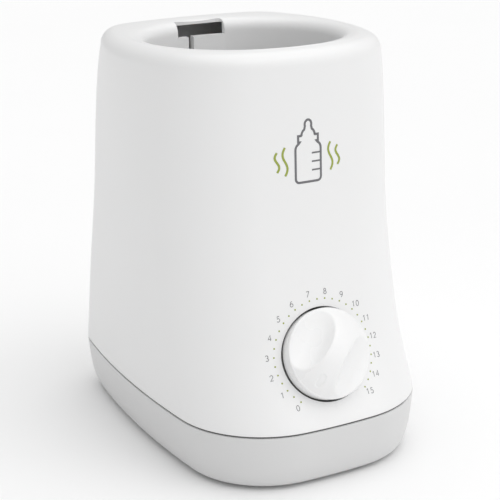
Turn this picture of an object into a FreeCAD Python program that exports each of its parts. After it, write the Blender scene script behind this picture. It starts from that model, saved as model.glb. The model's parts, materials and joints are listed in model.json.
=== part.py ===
import FreeCAD, Part
import math
import os
import Sketcher

# Bottle warmer: a tall warming chamber in a flared housing, on a base that holds the works.
# Frame: millimetres, +Z up, -Y towards the dial, origin on the ground below the middle of the base.

doc = FreeCAD.newDocument("BottleWarmer")
sheet = doc.addObject("Spreadsheet::Sheet", "Dims")

# alias, value, what it is
dimensions = [
    # outer shape
    ("total_height", 205, "ground to the top of the rim"),
    ("half_width", 66, "half the width at the seam"),
    ("half_depth", 97.5, "half the depth at the seam"),
    ("seam_height", 30, "height of the joint between base and housing"),
    ("seam_gap", 0.9, "gap between base and housing, filled by the gasket"),
    ("lip_rise", 2, "base's locating lip above the gap"),
    ("lip_inset", 1.9, "lip's extra inset, which clears the housing's flare"),
    ("lip_thickness", 1.6, "base's locating lip"),
    ("wall", 2.6, "moulded wall"),
    ("base_taper", 5.5, "how far the base draws in at its bottom"),
    ("base_edge_radius", 3, "rounding of the base's bottom edge"),
    ("ground_gap", 1.5, "gap below the base, made by the feet"),
    ("waist_height", 71.75, "lower shape station"),
    ("waist_inset", 0.3, "side draw-in at the lower station"),
    ("waist_front", 78.2, "front reach at the lower station"),
    ("waist_back", 87.4, "back reach at the lower station"),
    ("chest_height", 133.25, "upper shape station"),
    ("chest_inset", 1.4, "side draw-in at the upper station"),
    ("chest_front", 68.8, "front reach at the upper station"),
    ("chest_back", 73.3, "back reach at the upper station"),
    ("top_inset", 1.9, "side draw-in at the rim"),
    ("top_front", 68.2, "front reach at the rim"),
    ("top_back", 67.4, "back reach at the rim"),
    ("low_front_arc", 255, "radius of the front face at the seam"),
    ("low_side_arc", 522, "radius of the side face at the seam"),
    ("low_back_arc", 210, "radius of the back face at the seam"),
    ("low_front_corner", 48, "front corner radius at the seam"),
    ("low_back_corner", 29, "back corner radius at the seam"),
    ("top_front_arc", 115, "radius of the front face at the rim"),
    ("top_side_arc", 101, "radius of the side face at the rim"),
    ("top_back_arc", 177, "radius of the back face at the rim"),
    ("top_front_corner", 42, "front corner radius at the rim"),
    ("top_back_corner", 24.7, "back corner radius at the rim"),
    ("rim_outer_radius", 8, "rounding of the rim's outer edge"),
    ("rim_inner_radius", 4, "rounding of the rim's inner edge"),
    ("rim_thickness", 2.2, "thickness of the rim's top"),
    # warming chamber
    ("chamber_radius", 48.5, "inside radius at the rim"),
    ("chamber_y", -5, "chamber axis, forward of the middle"),
    ("chamber_foot_radius", 45.5, "inside radius at the floor"),
    ("chamber_floor", 84, "height of the chamber's floor"),
    ("collar_depth", 28, "length of the housing's own chamber wall"),
    ("liner_wall", 2.4, "wall of the liner"),
    ("collar_extra", 0.4, "collar's wall beyond the liner's"),
    ("liner_hole_depth", 15, "depth of the liner screws' holes"),
    ("liner_flange_reach", 4.5, "flange beyond the chamber radius"),
    ("seal_thickness", 0.5, "liner seal, compressed"),
    ("key_width", 27, "width of a rim notch"),
    ("key_reach", 3, "how far a rim notch goes into the rim"),
    ("key_drop", 8, "height of a rim notch"),
    ("key_corner", 2.6, "rounding of the notch's trailing corner"),
    ("key_plate_drop", 20, "height of the flat plate below a notch"),
    ("key_slit_width", 3, "slit in the flat plate"),
    ("key_slit_drop", 7, "height of the slit"),
    ("key_slit_shift", 6, "slit's distance from the notch's middle"),
    # fasteners
    ("screw_radius", 1.5, "shank of the small screws"),
    ("screw_head_radius", 2.8, "head of the small screws"),
    ("screw_head_height", 1.8, "head height of the small screws"),
    ("screw_play", 0.05, "radial play of a shank in its hole"),
    ("boss_radius", 3.6, "boss for a small screw"),
    ("liner_screw_circle", 57, "radius from the chamber axis to its screws"),
    ("liner_screw_angle", 20, "angle of each liner screw from the side"),
    ("case_screw_radius", 1.8, "shank of the case screws"),
    ("case_head_radius", 3.4, "head of the case screws"),
    ("case_post_radius", 5.2, "screw post in the base"),
    ("case_boss_radius", 4.2, "screw boss in the housing"),
    ("case_boss_rise", 18, "height of the housing's screw bosses"),
    ("case_rib_width", 2.4, "ribs that hold the bosses"),
    ("case_rib_lift", 4, "ribs' underside above the seam"),
    ("case_front_x", 42, "front case screws, from the middle"),
    ("case_front_y", 70, "front case screws, forward"),
    ("case_back_x", 40, "back case screws, from the middle"),
    ("case_back_y", 84, "back case screws, rearward"),
    ("case_head_level", 15, "underside of the case screw heads"),
    # feet
    ("foot_radius", 8, "rubber foot"),
    ("foot_sink", 1.2, "how deep a foot is let into the base"),
    ("foot_x", 38, "feet, from the middle"),
    ("foot_front_y", 52, "front feet, forward"),
    ("foot_back_y", 66, "back feet, rearward"),
    # underside vents
    ("vent_length", 46, "length of a vent slot"),
    ("vent_width", 3, "width of a vent slot"),
    ("vent_pitch", 7, "vent slot spacing"),
    ("vent_count", 7, "number of vent slots"),
    # dial
    ("dial_height", 61, "height of the dial's centre"),
    ("dial_reach", 81.6, "dial's centre, forward"),
    ("dial_lean", 24, "lean of the dial's axis above level, degrees"),
    ("dial_sweep", 275.4, "turn from off to full time, degrees"),
    ("knob_radius", 21.8, "knob's skirt"),
    ("knob_gap", 1, "ring gap round the knob"),
    ("knob_height", 14.4, "knob's top above the dial"),
    ("knob_skirt", 5.5, "height of the skirt's straight side"),
    ("knob_sink", 1.4, "how far the knob's skirt sits in its well"),
    ("knob_shell", 3, "height of the hollow under the knob"),
    ("ridge_half", 5, "half the thickness of the finger ridge"),
    ("scoop_radius", 14, "radius of each finger scoop"),
    ("scoop_floor", 5, "lowest point of each finger scoop"),
    ("well_depth", 2.2, "depth of the knob's well"),
    ("well_floor", 2.8, "thickness of the well's floor"),
    ("well_rim", 2.7, "well's wall beyond the gap"),
    ("shaft_hole_gap", 2, "well's hole clear of the shaft"),
    ("washer_thickness", 0.4, "drip washer in the well"),
    ("washer_width", 5, "drip washer's ring width"),
    # timer
    ("timer_radius", 26, "timer case"),
    ("timer_depth", 25, "length of the timer case"),
    ("timer_wall", 1.5, "timer case wall and front plate"),
    ("timer_gap", 0.3, "timer case clear of the housing"),
    ("timer_screw_circle", 12, "timer screws, from the dial axis"),
    ("shaft_radius", 3, "timer shaft"),
    ("shaft_play", 0.05, "radial play of a turning shaft"),
    ("gear_module", 0.6, "tooth module of the timer's wheels"),
    ("main_teeth", 48, "teeth on the main wheel"),
    ("pinion_teeth", 12, "teeth on the governor's pinion"),
    ("gear_thickness", 2, "thickness of the meshed wheels"),
    ("arbor_radius", 1, "governor's arbor"),
    ("governor_radius", 5.6, "governor's wheel"),
    ("spring_inner", 3.8, "mainspring's inner coil"),
    ("spring_pitch", 1.6, "mainspring's step per turn"),
    ("spring_strip", 0.5, "mainspring's strip thickness"),
    ("spring_turns", 5, "mainspring's turns"),
    ("spring_width", 7, "mainspring's strip width"),
    ("contact_width", 9, "contact block, across and up"),
    # reservoir
    ("tank_side_gap", 16.4, "tank's side, in from the housing's side"),
    ("tank_front", 20, "tank's front wall"),
    ("tank_back", 78, "tank's back wall"),
    ("tank_corner", 12, "tank's corner radius"),
    ("tank_wall", 2, "tank's wall"),
    ("tank_foot", 7, "underside of the tank"),
    ("tank_top", 64, "top of the tank's walls"),
    ("lid_thickness", 3, "tank lid"),
    ("lid_seal", 0.8, "tank seal"),
    # hoses
    ("spigot_radius", 3, "hose spigot's outside"),
    ("spigot_bore", 2, "hose spigot's bore"),
    ("spigot_length", 5.5, "hose spigot's length"),
    ("hose_play", 0.05, "hose's bore beyond the spigot"),
    ("hose_wall", 1.4, "hose's wall"),
    ("drain_x", -20, "drain hose"),
    ("drain_y", 29, "drain hose"),
    # pump
    ("pump_side_gap", 33.4, "pump's axis, in from the housing's side"),
    ("pump_y", -24, "pump's axis"),
    ("pump_foot", 14, "underside of the pump"),
    ("pump_radius", 19, "pump housing"),
    ("pump_cover", 2.5, "pump cover thickness"),
    ("pump_height", 14, "pump housing's height"),
    ("pump_wall", 3, "pump housing's wall"),
    ("impeller_radius", 13, "impeller"),
    ("impeller_blades", 6, "impeller's blades"),
    ("impeller_gap", 1.2, "impeller clear of the pump's floor and roof"),
    ("motor_radius", 13.8, "motor's can"),
    ("motor_length", 34, "motor's can"),
    ("motor_plate", 2, "motor plate"),
    ("motor_shaft_radius", 1.2, "motor shaft"),
    ("bracket_length", 50, "pump bracket"),
    ("bracket_width", 44, "pump bracket"),
    ("bracket_thickness", 1.6, "pump bracket"),
    ("bracket_inset", 5.5, "bracket's holes, in from its edges"),
    ("grommet_radius", 4.6, "rubber grommet"),
    ("grommet_height", 5, "rubber grommet"),
    # heater
    ("heater_x", -10, "heater block's middle"),
    ("heater_y", 2, "heater block's middle"),
    ("heater_length", 40, "heater block"),
    ("heater_width", 30, "heater block"),
    ("heater_height", 15, "heater block"),
    ("heater_drop", 10, "heater block's top below the chamber's underside"),
    ("ear_length", 7, "heater block's ears"),
    ("ear_height", 4, "heater block's ears"),
    ("heater_port", 12, "heater's ports, from its middle"),
    ("thermostat_radius", 7.5, "thermostat"),
    ("thermostat_height", 6, "thermostat"),
    ("fuse_radius", 2.2, "thermal fuse"),
    ("fuse_length", 18, "thermal fuse"),
    ("strap_thickness", 0.8, "fuse strap"),
    ("strap_width", 5, "fuse strap"),
    # electrics
    ("board_side_gap", 11.5, "board's edge, in from the housing's side"),
    ("board_length", 52, "circuit board, front to back"),
    ("board_width", 36, "circuit board, side to side"),
    ("board_y", -18, "circuit board's middle"),
    ("board_level", 11, "underside of the circuit board"),
    ("board_thickness", 1.6, "circuit board"),
    ("board_inset", 4, "board's holes, in from its edges"),
    ("core_length", 20, "transformer's core, across and up"),
    ("core_width", 18, "transformer's core, front to back"),
    ("coil_length", 12, "transformer's coil, across"),
    ("coil_width", 24, "transformer's coil, front to back"),
    ("coil_height", 13, "transformer's coil, up"),
    ("capacitor_radius", 5.5, "capacitor"),
    ("capacitor_height", 15, "capacitor"),
    ("relay_width", 10, "relay, across"),
    ("relay_length", 15, "relay, front to back"),
    ("relay_height", 11, "relay, up"),
    ("terminal_length", 21, "terminal block, across"),
    ("terminal_width", 6.4, "terminal block, front to back"),
    ("terminal_height", 11, "terminal block, up"),
    ("terminal_pitch", 6.5, "terminal spacing"),
    ("gland_radius", 5.4, "cord gland's sleeve"),
    ("gland_bore", 3.3, "cord gland's bore"),
    ("gland_flange", 8.2, "cord gland's flange"),
    ("gland_flange_thickness", 2, "cord gland's flange"),
    ("gland_length", 15, "cord gland, end to end"),
    ("gland_height", 17, "cord gland's axis"),
    ("gland_seat", 3.2, "gland seat's depth behind the base's back"),
    ("gland_nut", 2.4, "gland nut"),
    # filter
    ("filter_gap", 1.5, "filter clear of the liner's wall"),
    ("filter_skirt", 3, "filter's skirt height"),
    ("filter_plate", 1.8, "filter's plate"),
    ("filter_hole", 2, "filter hole's radius"),
    ("filter_grip", 4, "filter grip's radius"),
    ("filter_grip_rise", 12, "filter grip's height"),
]

for row, (alias, value, meaning) in enumerate(dimensions, start=1):
    sheet.set("A%d" % row, meaning)
    sheet.set("B%d" % row, str(value))
    sheet.setAlias("B%d" % row, alias)
doc.recompute()

subparts = []
X = FreeCAD.Vector(1, 0, 0)
Y = FreeCAD.Vector(0, 1, 0)
Z = FreeCAD.Vector(0, 0, 1)


def size(expression):
    """The present value of an expression over the sheet's aliases."""
    return float(sheet.evalExpression(expression))


def keep(item, label):
    """Mark an object as a finished sub-part; the label is its node and file name."""
    item.Label = label
    subparts.append(item)
    return item


def place(item, where, axis=None, angle=None):
    """Bind an object's position, and its turn about an axis, to expressions."""
    if axis is not None:
        item.Placement = FreeCAD.Placement(FreeCAD.Vector(), FreeCAD.Rotation(axis, size(angle)))
        item.setExpression("Placement.Rotation.Angle", angle)
    for letter, expression in zip("xyz", where):
        item.setExpression("Placement.Base." + letter, expression)
    return item


def box(name, lengths, corner):
    item = doc.addObject("Part::Box", name)
    for side, expression in zip(("Length", "Width", "Height"), lengths):
        item.setExpression(side, expression)
    return place(item, corner)


def cylinder(name, radius, height, foot, axis=None, angle=None):
    item = doc.addObject("Part::Cylinder", name)
    item.setExpression("Radius", radius)
    item.setExpression("Height", height)
    return place(item, foot, axis, angle)


def cone(name, low, high, height, foot):
    item = doc.addObject("Part::Cone", name)
    item.setExpression("Radius1", low)
    item.setExpression("Radius2", high)
    item.setExpression("Height", height)
    return place(item, foot)


def fuse(name, pieces):
    item = doc.addObject("Part::MultiFuse", name)
    item.Shapes = pieces
    return item


def cut(name, base, tools):
    item = doc.addObject("Part::Cut", name)
    item.Base = base
    item.Tool = tools[0] if len(tools) == 1 else fuse(name + "Tools", tools)
    return item


def carry(name, pieces):
    """A carrier that keeps its pieces apart and can be placed as one."""
    item = doc.addObject("Part::Compound", name)
    item.Links = pieces
    return item


def group(label, pieces):
    return keep(carry(label, pieces), label)


def solid(label, shape):
    item = doc.addObject("Part::Feature", label)
    item.Shape = shape
    return keep(item, label)


def newBody(label, where=("0", "0", "0"), axis=None, angle=None):
    item = doc.addObject("PartDesign::Body", label)
    place(item, where, axis, angle)
    return keep(item, label)


def sketchOn(body, name, role, lift=None):
    """A sketch on one of the body's origin planes, lifted along the plane's normal."""
    plane = next(feature for feature in body.Origin.OriginFeatures if feature.Role == role)
    sketch = body.newObject("Sketcher::SketchObject", name)
    sketch.AttachmentSupport = (plane, [""])
    sketch.MapMode = "FlatFace"
    if lift is not None:
        sketch.setExpression("AttachmentOffset.Base.z", lift)
    return sketch


def bind(sketch, constraint, expression):
    index = sketch.addConstraint(constraint)
    sketch.setExpression("Constraints[%d]" % index, expression)


def circleIn(sketch, radius, right=None, up=None):
    """A circle at the sketch's origin, or at a distance right and up from it."""
    middle = FreeCAD.Vector(size(right) if right else 0, size(up) if up else 0, 0)
    index = sketch.addGeometry(Part.Circle(middle, Z, size(radius)))
    bind(sketch, Sketcher.Constraint("Radius", index, size(radius)), radius)
    if right is None and up is None:
        sketch.addConstraint(Sketcher.Constraint("Coincident", index, 3, -1, 1))
        return index
    if right is None:
        sketch.addConstraint(Sketcher.Constraint("PointOnObject", index, 3, -2))
    else:
        bind(sketch, Sketcher.Constraint("DistanceX", -1, 1, index, 3, middle.x), right)
    if up is None:
        sketch.addConstraint(Sketcher.Constraint("PointOnObject", index, 3, -1))
    else:
        bind(sketch, Sketcher.Constraint("DistanceY", -1, 1, index, 3, middle.y), up)
    return index


def rectangleIn(sketch, width, height):
    """A rectangle centred on the sketch's origin."""
    right = size(width) / 2
    up = size(height) / 2
    corners = [FreeCAD.Vector(x * right, y * up, 0) for x, y in ((-1, -1), (1, -1), (1, 1), (-1, 1))]
    for index in range(4):
        sketch.addGeometry(Part.LineSegment(corners[index], corners[(index + 1) % 4]))
    for index in range(4):
        sketch.addConstraint(Sketcher.Constraint("Coincident", index, 2, (index + 1) % 4, 1))
    for index in (0, 2):
        sketch.addConstraint(Sketcher.Constraint("Horizontal", index))
        sketch.addConstraint(Sketcher.Constraint("Vertical", index + 1))
    sketch.addConstraint(Sketcher.Constraint("Symmetric", 0, 1, 1, 2, -1, 1))
    bind(sketch, Sketcher.Constraint("DistanceX", 0, 1, 0, 2, 2 * right), width)
    bind(sketch, Sketcher.Constraint("DistanceY", 1, 1, 1, 2, 2 * up), height)


def pad(body, sketch, length, down=False):
    feature = body.newObject("PartDesign::Pad", sketch.Name + "Pad")
    feature.Profile = sketch
    feature.setExpression("Length", length)
    feature.Reversed = down
    return feature


def pocket(body, sketch, length, up=False):
    feature = body.newObject("PartDesign::Pocket", sketch.Name + "Pocket")
    feature.Profile = sketch
    feature.setExpression("Length", length)
    feature.Reversed = up
    return feature


def polar(body, feature, count):
    """Repeat a feature round the body's own Z axis."""
    axis = next(item for item in body.Origin.OriginFeatures if item.Role == "Z_Axis")
    pattern = body.newObject("PartDesign::PolarPattern", feature.Name + "Ring")
    pattern.Originals = [feature]
    pattern.Axis = (axis, [""])
    pattern.Angle = 360
    pattern.setExpression("Occurrences", count)
    body.Tip = pattern
    return pattern


def disc(label, radius, thickness, where, bore=None, axis=None, angle=None, lift=None):
    """A round plate or ring as a one-pad body."""
    body = newBody(label, where, axis, angle)
    sketch = sketchOn(body, label + "Outline", "XY_Plane", lift)
    circleIn(sketch, radius)
    if bore is not None:
        circleIn(sketch, bore)
    pad(body, sketch, thickness)
    return body


# The dial's own frame: its axis leans above level, local Z points out of the housing.
dialWhere = ("0", "-Dims.dial_reach", "Dims.dial_height")
dialTurn = "90 - Dims.dial_lean"


def dialDisc(label, radius, thickness, lift, bore=None):
    return disc(label, radius, thickness, dialWhere, bore, X, dialTurn, lift)


def dialShape(shape):
    """Move a shape from the dial's frame to the part's frame."""
    moved = shape.copy()
    turn = FreeCAD.Rotation(X, size(dialTurn))
    centre = FreeCAD.Vector(0, -size("Dims.dial_reach"), size("Dims.dial_height"))
    moved.Placement = FreeCAD.Placement(centre, turn).multiply(moved.Placement)
    return moved


def screw(name, where, head, headHeight, shank, length, downward=True):
    """A pan-head screw; its head sits on the given point and its shank points down or up."""
    sign = "-" if downward else ""
    body = cylinder(name + "Head", head, headHeight, ("0", "0", "0"))
    stem = cylinder(name + "Shank", shank, length + " + " + headHeight, ("0", "0", "-(%s)" % length))
    slots = [
        box(name + "SlotA", (head + " * 1.1", "0.7", headHeight),
            ("-(%s) * 0.55" % head, "-0.35", "(%s) * 0.45" % headHeight)),
        box(name + "SlotB", ("0.7", head + " * 1.1", headHeight),
            ("-0.35", "-(%s) * 0.55" % head, "(%s) * 0.45" % headHeight)),
    ]
    piece = cut(name, fuse(name + "Blank", [body, stem]), slots)
    if downward:
        return place(piece, where)
    return place(piece, where, X, "180")


def screws(label, places, head, headHeight, shank, length, downward=True):
    pieces = [
        screw("%s%d" % (label, index), where, head, headHeight, shank, length, downward)
        for index, where in enumerate(places)
    ]
    return group(label, pieces)


smallScrew = ("Dims.screw_head_radius", "Dims.screw_head_height", "Dims.screw_radius")

# ---- shapes shared by the housing and the base --------------------------------------------


def crossing(first, firstRadius, second, secondRadius, sign):
    """The crossing of two circles on the right-hand side, nearer the front or the back."""
    gap = second - first
    apart = gap.Length
    along = (firstRadius ** 2 - secondRadius ** 2 + apart ** 2) / (2 * apart)
    offset = math.sqrt(firstRadius ** 2 - along ** 2)
    unit = gap / apart
    normal = FreeCAD.Vector(-unit.y, unit.x, 0)
    points = [first + unit * along + normal * offset, first + unit * along - normal * offset]
    return max(points, key=lambda point: point.x) if sign else min(points, key=lambda point: point.x)


def outline(level, halfWidth, front, back, arcs, inset=0.0):
    """A closed plan outline of eight tangent arcs; arcs are front, side, back, two corners."""
    frontArc, sideArc, backArc, frontCorner, backCorner = arcs
    frontCentre = FreeCAD.Vector(0, frontArc - front, 0)
    sideCentre = FreeCAD.Vector(halfWidth - sideArc, 0, 0)
    backCentre = FreeCAD.Vector(0, back - backArc, 0)
    nearCentre = crossing(frontCentre, frontArc - frontCorner, sideCentre, sideArc - frontCorner, True)
    farCentre = crossing(backCentre, backArc - backCorner, sideCentre, sideArc - backCorner, True)

    def reach(centre, towards, radius):
        return centre + (towards - centre).normalize() * (radius - inset)

    def between(centre, start, end, radius):
        middle = (start + end) / 2 - centre
        return centre + middle.normalize() * (radius - inset)

    first = reach(frontCentre, nearCentre, frontArc)
    second = reach(sideCentre, nearCentre, sideArc)
    third = reach(sideCentre, farCentre, sideArc)
    fourth = reach(backCentre, farCentre, backArc)

    def mirror(point):
        return FreeCAD.Vector(-point.x, point.y, 0)

    right = [
        (first, between(nearCentre, first, second, frontCorner), second),
        (second, between(sideCentre, second, third, sideArc), third),
        (third, between(farCentre, third, fourth, backCorner), fourth),
    ]
    left = [tuple(mirror(point) for point in reversed(arc)) for arc in reversed(right)]
    frontMiddle = FreeCAD.Vector(0, -front + inset, 0)
    backMiddle = FreeCAD.Vector(0, back - inset, 0)
    spans = [(mirror(first), frontMiddle, first)] + right + [(fourth, backMiddle, mirror(fourth))] + left
    lift = FreeCAD.Vector(0, 0, level)
    edges = [Part.Arc(a + lift, b + lift, c + lift).toShape() for a, b, c in spans]
    return Part.Wire(edges)


lowArcs = [size("Dims.low_" + name) for name in
           ("front_arc", "side_arc", "back_arc", "front_corner", "back_corner")]
topArcs = [size("Dims.top_" + name) for name in
           ("front_arc", "side_arc", "back_arc", "front_corner", "back_corner")]
wall = size("Dims.wall")
halfWidth = size("Dims.half_width")
halfDepth = size("Dims.half_depth")
seamTop = size("Dims.seam_height + Dims.seam_gap / 2")
seamFoot = size("Dims.seam_height - Dims.seam_gap / 2")
lipTop = seamTop + size("Dims.lip_rise")
totalHeight = size("Dims.total_height")


def mixedArcs(share):
    return [low + (top - low) * share for low, top in zip(lowArcs, topArcs)]


def seamOutline(level, inset):
    return outline(level, halfWidth, halfDepth, halfDepth, lowArcs, inset)


def housingOutline(name, level, inset):
    """The housing's plan at the waist, chest or top station."""
    station = totalHeight if name == "top" else size("Dims.%s_height" % name)
    share = (station - seamTop) / (totalHeight - seamTop)
    width = halfWidth - size("Dims.%s_inset" % name)
    front = size("Dims.%s_front" % name)
    back = size("Dims.%s_back" % name)
    return outline(level, width, front, back, mixedArcs(share), inset)


def housingSolid(inset, foot, top):
    """The housing's outer shape, or its hollow when given an inset."""
    wires = [
        seamOutline(foot, inset),
        housingOutline("waist", size("Dims.waist_height"), inset),
        housingOutline("chest", size("Dims.chest_height"), inset),
        housingOutline("top", top, inset),
    ]
    return Part.makeLoft(wires, True, False)


def baseSolid(inset, foot, top):
    """The base's outer shape, or its hollow when given an inset."""
    taper = size("Dims.base_taper")
    middle = foot + (top - foot) * 0.4
    wires = [
        seamOutline(foot, inset + taper),
        seamOutline(middle, inset + taper * 0.35),
        seamOutline(top, inset),
    ]
    return Part.makeLoft(wires, True, False)


def seamRing(foot, top, outerInset, innerInset):
    """An upright ring that follows the seam's outline."""
    outer = Part.Face(seamOutline(foot, outerInset)).extrude(Z * (top - foot))
    inner = Part.Face(seamOutline(foot, innerInset)).extrude(Z * (top - foot))
    return outer.cut(inner)


def upright(radius, foot, top, x, y):
    return Part.makeCylinder(radius, top - foot, FreeCAD.Vector(x, y, foot), Z)


def caseScrewPlaces():
    front = (size("Dims.case_front_x"), -size("Dims.case_front_y"))
    back = (size("Dims.case_back_x"), size("Dims.case_back_y"))
    return [(side * x, y) for x, y in (front, back) for side in (-1, 1)]


def linerScrewPlaces():
    circle = size("Dims.liner_screw_circle")
    angle = math.radians(size("Dims.liner_screw_angle"))
    middle = size("Dims.chamber_y")
    across = circle * math.cos(angle)
    along = circle * math.sin(angle)
    return [(x * across, middle + y * along) for x in (-1, 1) for y in (-1, 1)]


def topEdges(shape, level):
    """Edges that lie wholly at one height."""
    found = []
    for edge in shape.Edges:
        bounds = edge.BoundBox
        if abs(bounds.ZMin - level) < 1e-4 and abs(bounds.ZMax - level) < 1e-4:
            found.append(edge)
    return found


# ---- housing -----------------------------------------------------------------------------

chamberRadius = size("Dims.chamber_radius")
chamberY = size("Dims.chamber_y")
collarFoot = size("Dims.total_height - Dims.collar_depth")
collarRadius = size("Dims.chamber_radius + Dims.liner_wall + Dims.collar_extra")
wellRadius = size("Dims.knob_radius + Dims.knob_gap")
through = 20.0  # long enough to pass through any wall it cuts


def keyBlock(side, width, near, far, foot, top):
    """A block across a rim notch, at the chamber's front (-1) or back (1)."""
    block = Part.makeBox(width, far - near, top - foot)
    block.translate(FreeCAD.Vector(-width / 2, near, foot))
    if side < 0:
        block.rotate(FreeCAD.Vector(), Z, 180)
    block.translate(FreeCAD.Vector(0, chamberY, 0))
    return block


def notchTool(side, near, foot):
    """The cut through the rim; one far corner is rounded, so the two notches match by a half turn."""
    far = chamberRadius + size("Dims.key_reach")
    block = Part.makeBox(size("Dims.key_width"), far - near, totalHeight + 1 - foot)
    corner = [edge for edge in block.Edges
              if edge.BoundBox.XMin > size("Dims.key_width") - 0.1 and edge.BoundBox.YMin > far - near - 0.1
              and edge.BoundBox.ZLength > 1]
    block = block.makeFillet(size("Dims.key_corner"), corner)
    block.translate(FreeCAD.Vector(-size("Dims.key_width") / 2, near, foot))
    if side < 0:
        block.rotate(FreeCAD.Vector(), Z, 180)
    block.translate(FreeCAD.Vector(0, chamberY, 0))
    return block


def housingInside(outer, bossTop):
    """Collar, screw bosses with their ribs and the dial's seat, trimmed to the outer shape."""
    roof = totalHeight - size("Dims.rim_thickness") / 2
    inside = [upright(collarRadius, collarFoot, roof, 0, chamberY)]
    for x, y in linerScrewPlaces():
        inside.append(upright(size("Dims.boss_radius"), collarFoot, roof, x, y))
    ribWidth = size("Dims.case_rib_width")
    ribFoot = seamTop + size("Dims.case_rib_lift")
    for x, y in caseScrewPlaces():
        inside.append(upright(size("Dims.case_boss_radius"), lipTop + 0.2, bossTop, x, y))
        rib = Part.makeBox(halfWidth - abs(x), ribWidth, bossTop - ribFoot)
        rib.translate(FreeCAD.Vector(x if x > 0 else -halfWidth, y - ribWidth / 2, ribFoot))
        inside.append(rib)
    seatDepth = size("Dims.well_depth + Dims.well_floor")
    seatRadius = wellRadius + size("Dims.well_rim")
    inside.append(dialShape(Part.makeCylinder(seatRadius, seatDepth, FreeCAD.Vector(0, 0, -seatDepth))))
    return [piece.common(outer) for piece in inside]


def notchTools(notchFoot, plateNear):
    tools = []
    slitFoot = notchFoot - size("Dims.key_slit_drop")
    slitWidth = size("Dims.key_slit_width")
    for side in (-1, 1):
        tools.append(notchTool(side, plateNear - 4, notchFoot))
        slit = keyBlock(side, slitWidth, plateNear - 1, collarRadius + 1, slitFoot, notchFoot + 0.5)
        slit.translate(FreeCAD.Vector(-side * size("Dims.key_slit_shift"), 0, 0))
        tools.append(slit)
    return tools


def housingHoles(bossTop):
    """Screw holes in the bosses, and the dial's well with its shaft and screw holes."""
    tools = []
    screwHole = size("Dims.screw_radius + Dims.screw_play")
    caseHole = size("Dims.case_screw_radius + Dims.screw_play")
    holeDepth = size("Dims.liner_hole_depth")
    for x, y in linerScrewPlaces():
        tools.append(upright(screwHole, collarFoot - 1, collarFoot + holeDepth, x, y))
    for x, y in caseScrewPlaces():
        tools.append(upright(caseHole, seamTop - 1, bossTop - 4, x, y))
    wellFloor = FreeCAD.Vector(0, 0, -size("Dims.well_depth"))
    tools.append(dialShape(Part.makeCylinder(wellRadius, through, wellFloor)))
    shaftHole = size("Dims.shaft_radius + Dims.shaft_hole_gap")
    tools.append(dialShape(Part.makeCylinder(shaftHole, 2 * through, FreeCAD.Vector(0, 0, -through))))
    for side in (-1, 1):
        foot = FreeCAD.Vector(side * size("Dims.timer_screw_circle"), 0, -through)
        tools.append(dialShape(Part.makeCylinder(screwHole, 2 * through, foot)))
    return tools


def housingShape():
    outer = housingSolid(0, seamTop, totalHeight)
    outer = outer.makeFillet(size("Dims.rim_outer_radius"), topEdges(outer, totalHeight))
    roof = totalHeight - size("Dims.rim_thickness")
    hollow = housingSolid(wall, seamTop, roof)
    hollow = hollow.makeFillet(size("Dims.rim_outer_radius") - wall, topEdges(hollow, roof))
    bossTop = seamTop + size("Dims.case_boss_rise")
    shell = outer.cut(hollow).fuse(housingInside(outer, bossTop))

    shell = shell.cut(upright(chamberRadius, collarFoot - 5, totalHeight + 1, 0, chamberY))
    rimEdges = [edge for edge in topEdges(shell, totalHeight)
                if abs(getattr(edge.Curve, "Radius", 0) - chamberRadius) < 1e-3]
    shell = shell.makeFillet(size("Dims.rim_inner_radius"), rimEdges)

    keyWidth = size("Dims.key_width")
    notchFoot = totalHeight - size("Dims.key_drop")
    plateFoot = notchFoot - size("Dims.key_plate_drop")
    plateNear = math.sqrt(chamberRadius ** 2 - (keyWidth / 2) ** 2)
    plates = [keyBlock(side, keyWidth, plateNear, chamberRadius + 1, plateFoot, notchFoot) for side in (-1, 1)]
    return shell.fuse(plates).cut(notchTools(notchFoot, plateNear) + housingHoles(bossTop))


solid("upper_housing", housingShape())
solid("seam_gasket", seamRing(seamFoot, seamTop, size("Dims.seam_gap"), wall))

# ---- base --------------------------------------------------------------------------------

groundGap = size("Dims.ground_gap")
baseFloor = groundGap + wall
glandSeat = halfDepth - size("Dims.gland_seat")


def glandCylinder(radius, back, front):
    height = size("Dims.gland_height")
    return Part.makeCylinder(radius, front - back, FreeCAD.Vector(0, back, height), Y)


def feetPlaces():
    x = size("Dims.foot_x")
    ys = (-size("Dims.foot_front_y"), size("Dims.foot_back_y"))
    return [(side * x, y) for y in ys for side in (-1, 1)]


def postPlaces(middleX, middleY, length, width, inset):
    """Four places inside a rectangle's corners."""
    across = length / 2 - inset
    along = width / 2 - inset
    return [(middleX + x * across, middleY + y * along) for x in (-1, 1) for y in (-1, 1)]


pumpX = halfWidth - size("Dims.pump_side_gap")
pumpY = size("Dims.pump_y")
boardX = -(halfWidth - size("Dims.board_side_gap + Dims.board_width / 2"))
boardY = size("Dims.board_y")
bracketFoot = size("Dims.pump_foot - Dims.bracket_thickness - 0.2")
grommetFoot = bracketFoot - size("Dims.grommet_height")
pumpPosts = postPlaces(pumpX, pumpY, size("Dims.bracket_length"), size("Dims.bracket_width"),
                       size("Dims.bracket_inset"))
boardPosts = postPlaces(boardX, boardY, size("Dims.board_width"), size("Dims.board_length"),
                        size("Dims.board_inset"))
tankMiddle = size("(Dims.tank_front + Dims.tank_back) / 2")


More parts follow.
